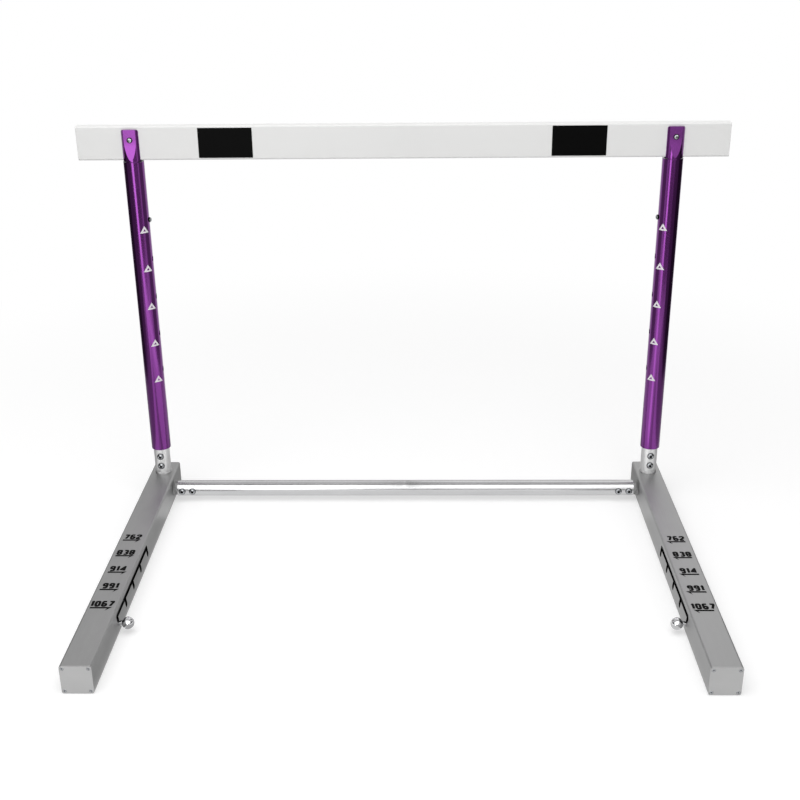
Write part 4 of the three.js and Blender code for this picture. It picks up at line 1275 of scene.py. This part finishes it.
class HURDLE_OT_post_marks(PieceOperator):
    """White pointer triangles printed under the button holes"""

    bl_idname = "hurdle.post_marks"
    bl_label = "Post marks"

    def execute(self, context):
        sizes = context.scene.hurdle_sizes
        lift, turned_out, window = 0.01 * MM, math.radians(37.5), 0.34
        values = {
            "Axis": (POST_AXIS.x, POST_AXIS.y, 0.0),
            "Radius": OUTER_RADIUS + lift,
            "Turn": turned_out,
            "Top": middle(BUTTON).z - sizes.mark_below_hole,
            "Pitch": sizes.height_step,
            "Count": sizes.setting_count,
        }
        mark = pointer_mark(sizes.mark_width, sizes.mark_height, window)
        add_pair("pointer_marks", grown(marks_on_post, "white_screen_ink", values, mark), "upper", "white_screen_ink")
        return {"FINISHED"}


# Stage
def ray_switch(tree):
    """One for camera, mirror and glass rays, and zero for the rest."""
    path = add_node(tree, "ShaderNodeLightPath")
    camera, glossy, glass = (path.outputs[f"Is {kind} Ray"] for kind in ("Camera", "Glossy", "Transmission"))
    return calc(tree, "MAXIMUM", calc(tree, "MAXIMUM", camera, glossy), glass)


def glow(tree, strength, kind="ShaderNodeEmission"):
    return add_node(tree, kind, {"Color": WHITE, "Strength": strength})


def pale_floor():
    """White paper that shows the hurdle's soft shadow, and runs out into even white further away."""
    sockets = {"Roughness": 0.9, "Specular_IOR_Level": 0.0}
    material, tree, shader = new_material("white_paper_floor", linear("#F0F0F0"), **sockets)
    paper = add_node(tree, "ShaderNodeBsdfDiffuse", {"Color": (0.64, 0.64, 0.64, 1)})
    near = add_node(tree, "ShaderNodeAddShader", {0: glow(tree, 0.43), 1: paper})
    place = add_node(tree, "ShaderNodeTexCoord").outputs["Object"]
    reach = add_node(tree, "ShaderNodeVectorMath", {0: place}, operation="LENGTH").outputs["Value"]
    near_edge, far_edge = 0.8, 2.0
    fade = {0: reach, 1: near_edge, 2: far_edge}
    away = add_node(tree, "ShaderNodeMapRange", fade, interpolation_type="SMOOTHSTEP")
    seen = add_node(tree, "ShaderNodeMixShader", {0: away, 1: near, 2: glow(tree, 1.0)})
    show_instead(tree, add_node(tree, "ShaderNodeMixShader", {0: ray_switch(tree), 1: shader, 2: seen}))
    return material


def upright(x0, x1, y0, y1, low, high):
    """Corners of a card that stands on the line from one place to another."""
    return (x0, y0, low), (x1, y1, low), (x1, y1, high), (x0, y0, high)


def slanted(reach, y0, z0, y1, z1):
    """Corners of a card that spans the studio's width, from a low edge to a high edge."""
    return (-reach, y0, z0), (reach, y0, z0), (reach, y1, z1), (-reach, y1, z1)


def floor_strip(x0, x1, y0, x2, x3, y1, lift):
    """Corners of a card that lies on the floor, from a near edge to a far edge."""
    return (x0, y0, lift), (x1, y0, lift), (x3, y1, lift), (x2, y1, lift)


def floor_patch(x0, x1, y0, y1):
    """Corners of a small card that lies on the floor, with square corners."""
    return floor_strip(x0, x1, y0, x0, x1, y1, MM)


# Cards that only mirror rays see, with their strength. They stand for a bright softbox over the camera,
# one upright strip light beside it, dark flags round the rest, and a grey studio behind the hurdle.
CARDS = {
    "front_softbox": (2.1, slanted(2.6, -2.6, 0.3, -0.8, 2.9)),
    "ceiling_gap": (0.1, slanted(3.2, -0.8, 2.9, -0.1, 3.1)),
    "ceiling": (0.75, slanted(3.2, -0.1, 3.2, 2.6, 3.2)),
    "back_wall_left": (0.58, upright(-3.2, 0, 2.6, 2.6, 0.2, 1.5)),
    "back_wall_middle": (0.6, upright(0, 0.95, 2.6, 2.6, 0.2, 1.5)),
    "back_wall_right": (1.0, upright(0.95, 3.2, 2.6, 2.6, 0.2, 1.5)),
    "back_wall_upper_left": (1.05, upright(-3.2, 0, 2.6, 2.6, 1.5, 3.2)),
    "back_wall_upper_right": (1.35, upright(0, 3.2, 2.6, 2.6, 1.5, 3.2)),
    "left_wall": (0.35, upright(-3.2, -3.2, -3.0, 2.6, 0, 3.2)),
    "right_wall": (0.35, upright(3.2, 3.2, -3.0, 2.6, 0, 3.2)),
    "left_flag": (0.16, upright(-1.15, -1.15, -1.3, 0.1, 0, 0.8)),
    "left_flag_back": (0.05, upright(-1.15, -1.15, 0.1, 1.0, 0, 0.8)),
    "right_flag": (0.14, upright(1.15, 1.15, -1.3, 0, 0, 0.8)),
    "right_flag_back": (0.04, upright(1.15, 1.15, 0, 1.0, 0, 0.8)),
    "middle_card_front": (0.75, upright(0, 0, -0.11, 0.08, 0.1, 0.8)),
    "middle_card_gap": (0.26, upright(0, 0, 0.08, 0.54, 0.1, 0.8)),
    "middle_card_back": (0.8, upright(0, 0, 0.54, 1.6, 0.1, 0.8)),
    "far_flag": (0.24, upright(-2.6, 2.6, -2.5, -2.5, 0, 0.75)),
    "low_flag": (0.24, upright(-1.3, 1.5, -1.62, -1.62, 0, 0.45)),
    "strip_light": (2.9, upright(-0.9, -0.28, -1.6, -1.6, 0, 0.6)),
    "left_tongue_card": (2.1, upright(-1.1, -0.9, -1.6, -1.6, 0.3, 0.6)),
    "left_tongue_card_top": (2.9, upright(-1.1, -0.9, -1.6, -1.6, 0.6, 1.3)),
    "right_tongue_card": (0.75, upright(0.8, 1.05, -1.6, -1.6, 0.3, 1.3)),
    "far_floor": (0.2, floor_strip(-1.2, 1.2, -1.6, -1.2, 1.2, -1.15, 2 * MM)),
    "far_floor_edge": (0.6, floor_strip(-1.2, 1.2, -1.15, -1.2, 1.2, -0.95, 2 * MM)),
    "floor_strip_left": (1.6, floor_strip(-0.9, -0.28, -1.6, -0.65, -0.46, -0.6, 4 * MM)),
    "floor_strip_right": (1.9, floor_strip(-0.9, -0.28, -1.6, 0.25, 0.4, 0.1, 4 * MM)),
    "left_wall_flag": (0.48, floor_patch(-0.47, -0.36, -0.38, 0.2)),
    "right_wall_flag": (0.75, floor_patch(0.36, 0.47, -0.38, 0.2)),
    "left_floor_flag": (0.4, floor_patch(-1.15, -0.72, -0.7, 1.0)),
    "right_floor_flag": (0.4, floor_patch(0.74, 1.15, -0.7, 1.0)),
    "middle_floor_flag": (0.7, floor_patch(-0.3, 0.3, 0.3, 1.2)),
    "left_post_flag": (0.35, floor_patch(-0.72, -0.53, 0.25, 0.8)),
    "left_post_inner_flag": (0.4, floor_patch(-0.47, -0.3, 0.31, 0.8)),
    "right_post_flag": (0.35, floor_patch(0.53, 0.72, 0.25, 0.8)),
    "right_post_inner_flag": (0.4, floor_patch(0.3, 0.47, 0.31, 0.8)),
}


def stage_card(name, corners, material):
    """A flat object that isn't part of the hurdle."""
    mesh = bpy.data.meshes.new(name)
    mesh.from_pydata(corners, [], [(0, 1, 2, 3)])
    mesh.materials.append(material)
    card = linked(name, mesh)
    return card


def reflector_card(name, strength, corners):
    """A plain card for the round metal to mirror."""
    material, tree, _ = new_material(f"{name}_face", WHITE)
    show_instead(tree, glow(tree, strength))
    card = stage_card(name, corners, material)
    card.visible_camera = card.visible_diffuse = card.visible_shadow = False
    card.visible_transmission = card.visible_volume_scatter = False


def soft_lamp(name, place, aim, width, height, power):
    light = bpy.data.lights.new(name, "AREA")
    light.shape, light.size, light.size_y, light.energy = "RECTANGLE", width, height, power
    lamp = linked(name, light)
    lamp.location = place
    lamp.rotation_euler = (Vector(aim) - Vector(place)).to_track_quat("-Z", "Y").to_euler()
    lamp.visible_camera = lamp.visible_glossy = False


def studio_world():
    """Plain white all round, brighter to the eye and to mirrors than to the shading."""
    world = bpy.data.worlds.new("studio")
    world.use_nodes = True
    tree = world.node_tree
    tree.nodes.clear()
    lit, seen = (glow(tree, strength, "ShaderNodeBackground") for strength in (0.55, 1.0))
    mixed = add_node(tree, "ShaderNodeMixShader", {0: ray_switch(tree), 1: lit, 2: seen})
    add_node(tree, "ShaderNodeOutputWorld", {"Surface": mixed})
    return world


def photo_camera():
    """The photograph's view: where the camera stands, how it is turned, and its lens."""
    yaw, pitch, roll = (math.radians(a) for a in (-1.17, 22.06, -0.59))
    frame_width, focal, rise, film = 800, 1140.1, 28.6, 36
    forward = Vector((math.sin(yaw) * math.cos(pitch), math.cos(yaw) * math.cos(pitch), -math.sin(pitch)))
    right = Vector((math.cos(yaw), -math.sin(yaw), 0))
    up = right.cross(forward)
    right, up = right * math.cos(roll) + up * math.sin(roll), up * math.cos(roll) - right * math.sin(roll)
    camera = linked("camera", bpy.data.cameras.new("camera"))
    turn = Matrix((right, up, -forward)).transposed().to_4x4()
    camera.matrix_world = Matrix.Translation((0.03518, -1.79659, 1.12552)) @ turn
    camera.data.sensor_width = film
    camera.data.lens = focal / frame_width * film
    camera.data.shift_y = -rise / frame_width
    camera.data.clip_end = 100
    return camera


class HURDLE_OT_stage(PieceOperator):
    """Pale floor, soft studio light and the camera"""

    bl_idname = "hurdle.stage"
    bl_label = "Stage"

    def execute(self, context):
        scene = context.scene
        scene.view_settings.view_transform = "Standard"
        floor = stage_card("floor", slanted(30.0, -30.0, 0, 30.0, 0), pale_floor())
        floor.location.z = -0.5 * MM
        for name, (strength, corners) in CARDS.items():
            reflector_card(name, strength, corners)
        soft_lamp("key", (-0.3, -0.9, 2.8), (0, 0.15, 0), 3.0, 2.4, 50)
        scene.world = studio_world()
        scene.camera = photo_camera()
        return {"FINISHED"}


class HURDLE_PT_panel(bpy.types.Panel):
    """Lists the hurdle's sizes, colours and pieces"""

    bl_idname = "HURDLE_PT_panel"
    bl_label = "Track hurdle"
    bl_space_type = "VIEW_3D"
    bl_region_type = "UI"
    bl_category = "Hurdle"

    def draw(self, context):
        for operator in OPERATORS:
            self.layout.operator(operator.bl_idname)
        for group in (context.scene.hurdle_sizes, context.scene.hurdle_colours):
            box = self.layout.box()
            for name in group.bl_rna.properties.keys():
                if name not in ("rna_type", "name"):
                    box.prop(group, name)


OPERATORS = (
    HURDLE_OT_stage,
    HURDLE_OT_legs,
    HURDLE_OT_end_plates,
    HURDLE_OT_silver_tubes,
    HURDLE_OT_welds,
    HURDLE_OT_outer_posts,
    HURDLE_OT_post_heads,
    HURDLE_OT_crossbar,
    HURDLE_OT_fasteners,
    HURDLE_OT_knobs,
    HURDLE_OT_height_buttons,
    HURDLE_OT_leg_figures,
    HURDLE_OT_post_marks,
)
CLASSES = (HurdleSizes, HurdleColours, *OPERATORS, HURDLE_PT_panel)


def register():
    for each in CLASSES:
        bpy.utils.register_class(each)
    bpy.types.Scene.hurdle_sizes = PointerProperty(type=HurdleSizes)
    bpy.types.Scene.hurdle_colours = PointerProperty(type=HurdleColours)


def unregister():
    del bpy.types.Scene.hurdle_colours
    del bpy.types.Scene.hurdle_sizes
    for each in reversed(CLASSES):
        bpy.utils.unregister_class(each)


def main():
    register()
    for operator in OPERATORS:
        group, name = operator.bl_idname.split(".")
        getattr(getattr(bpy.ops, group), name)()


if __name__ == "__main__":
    main()
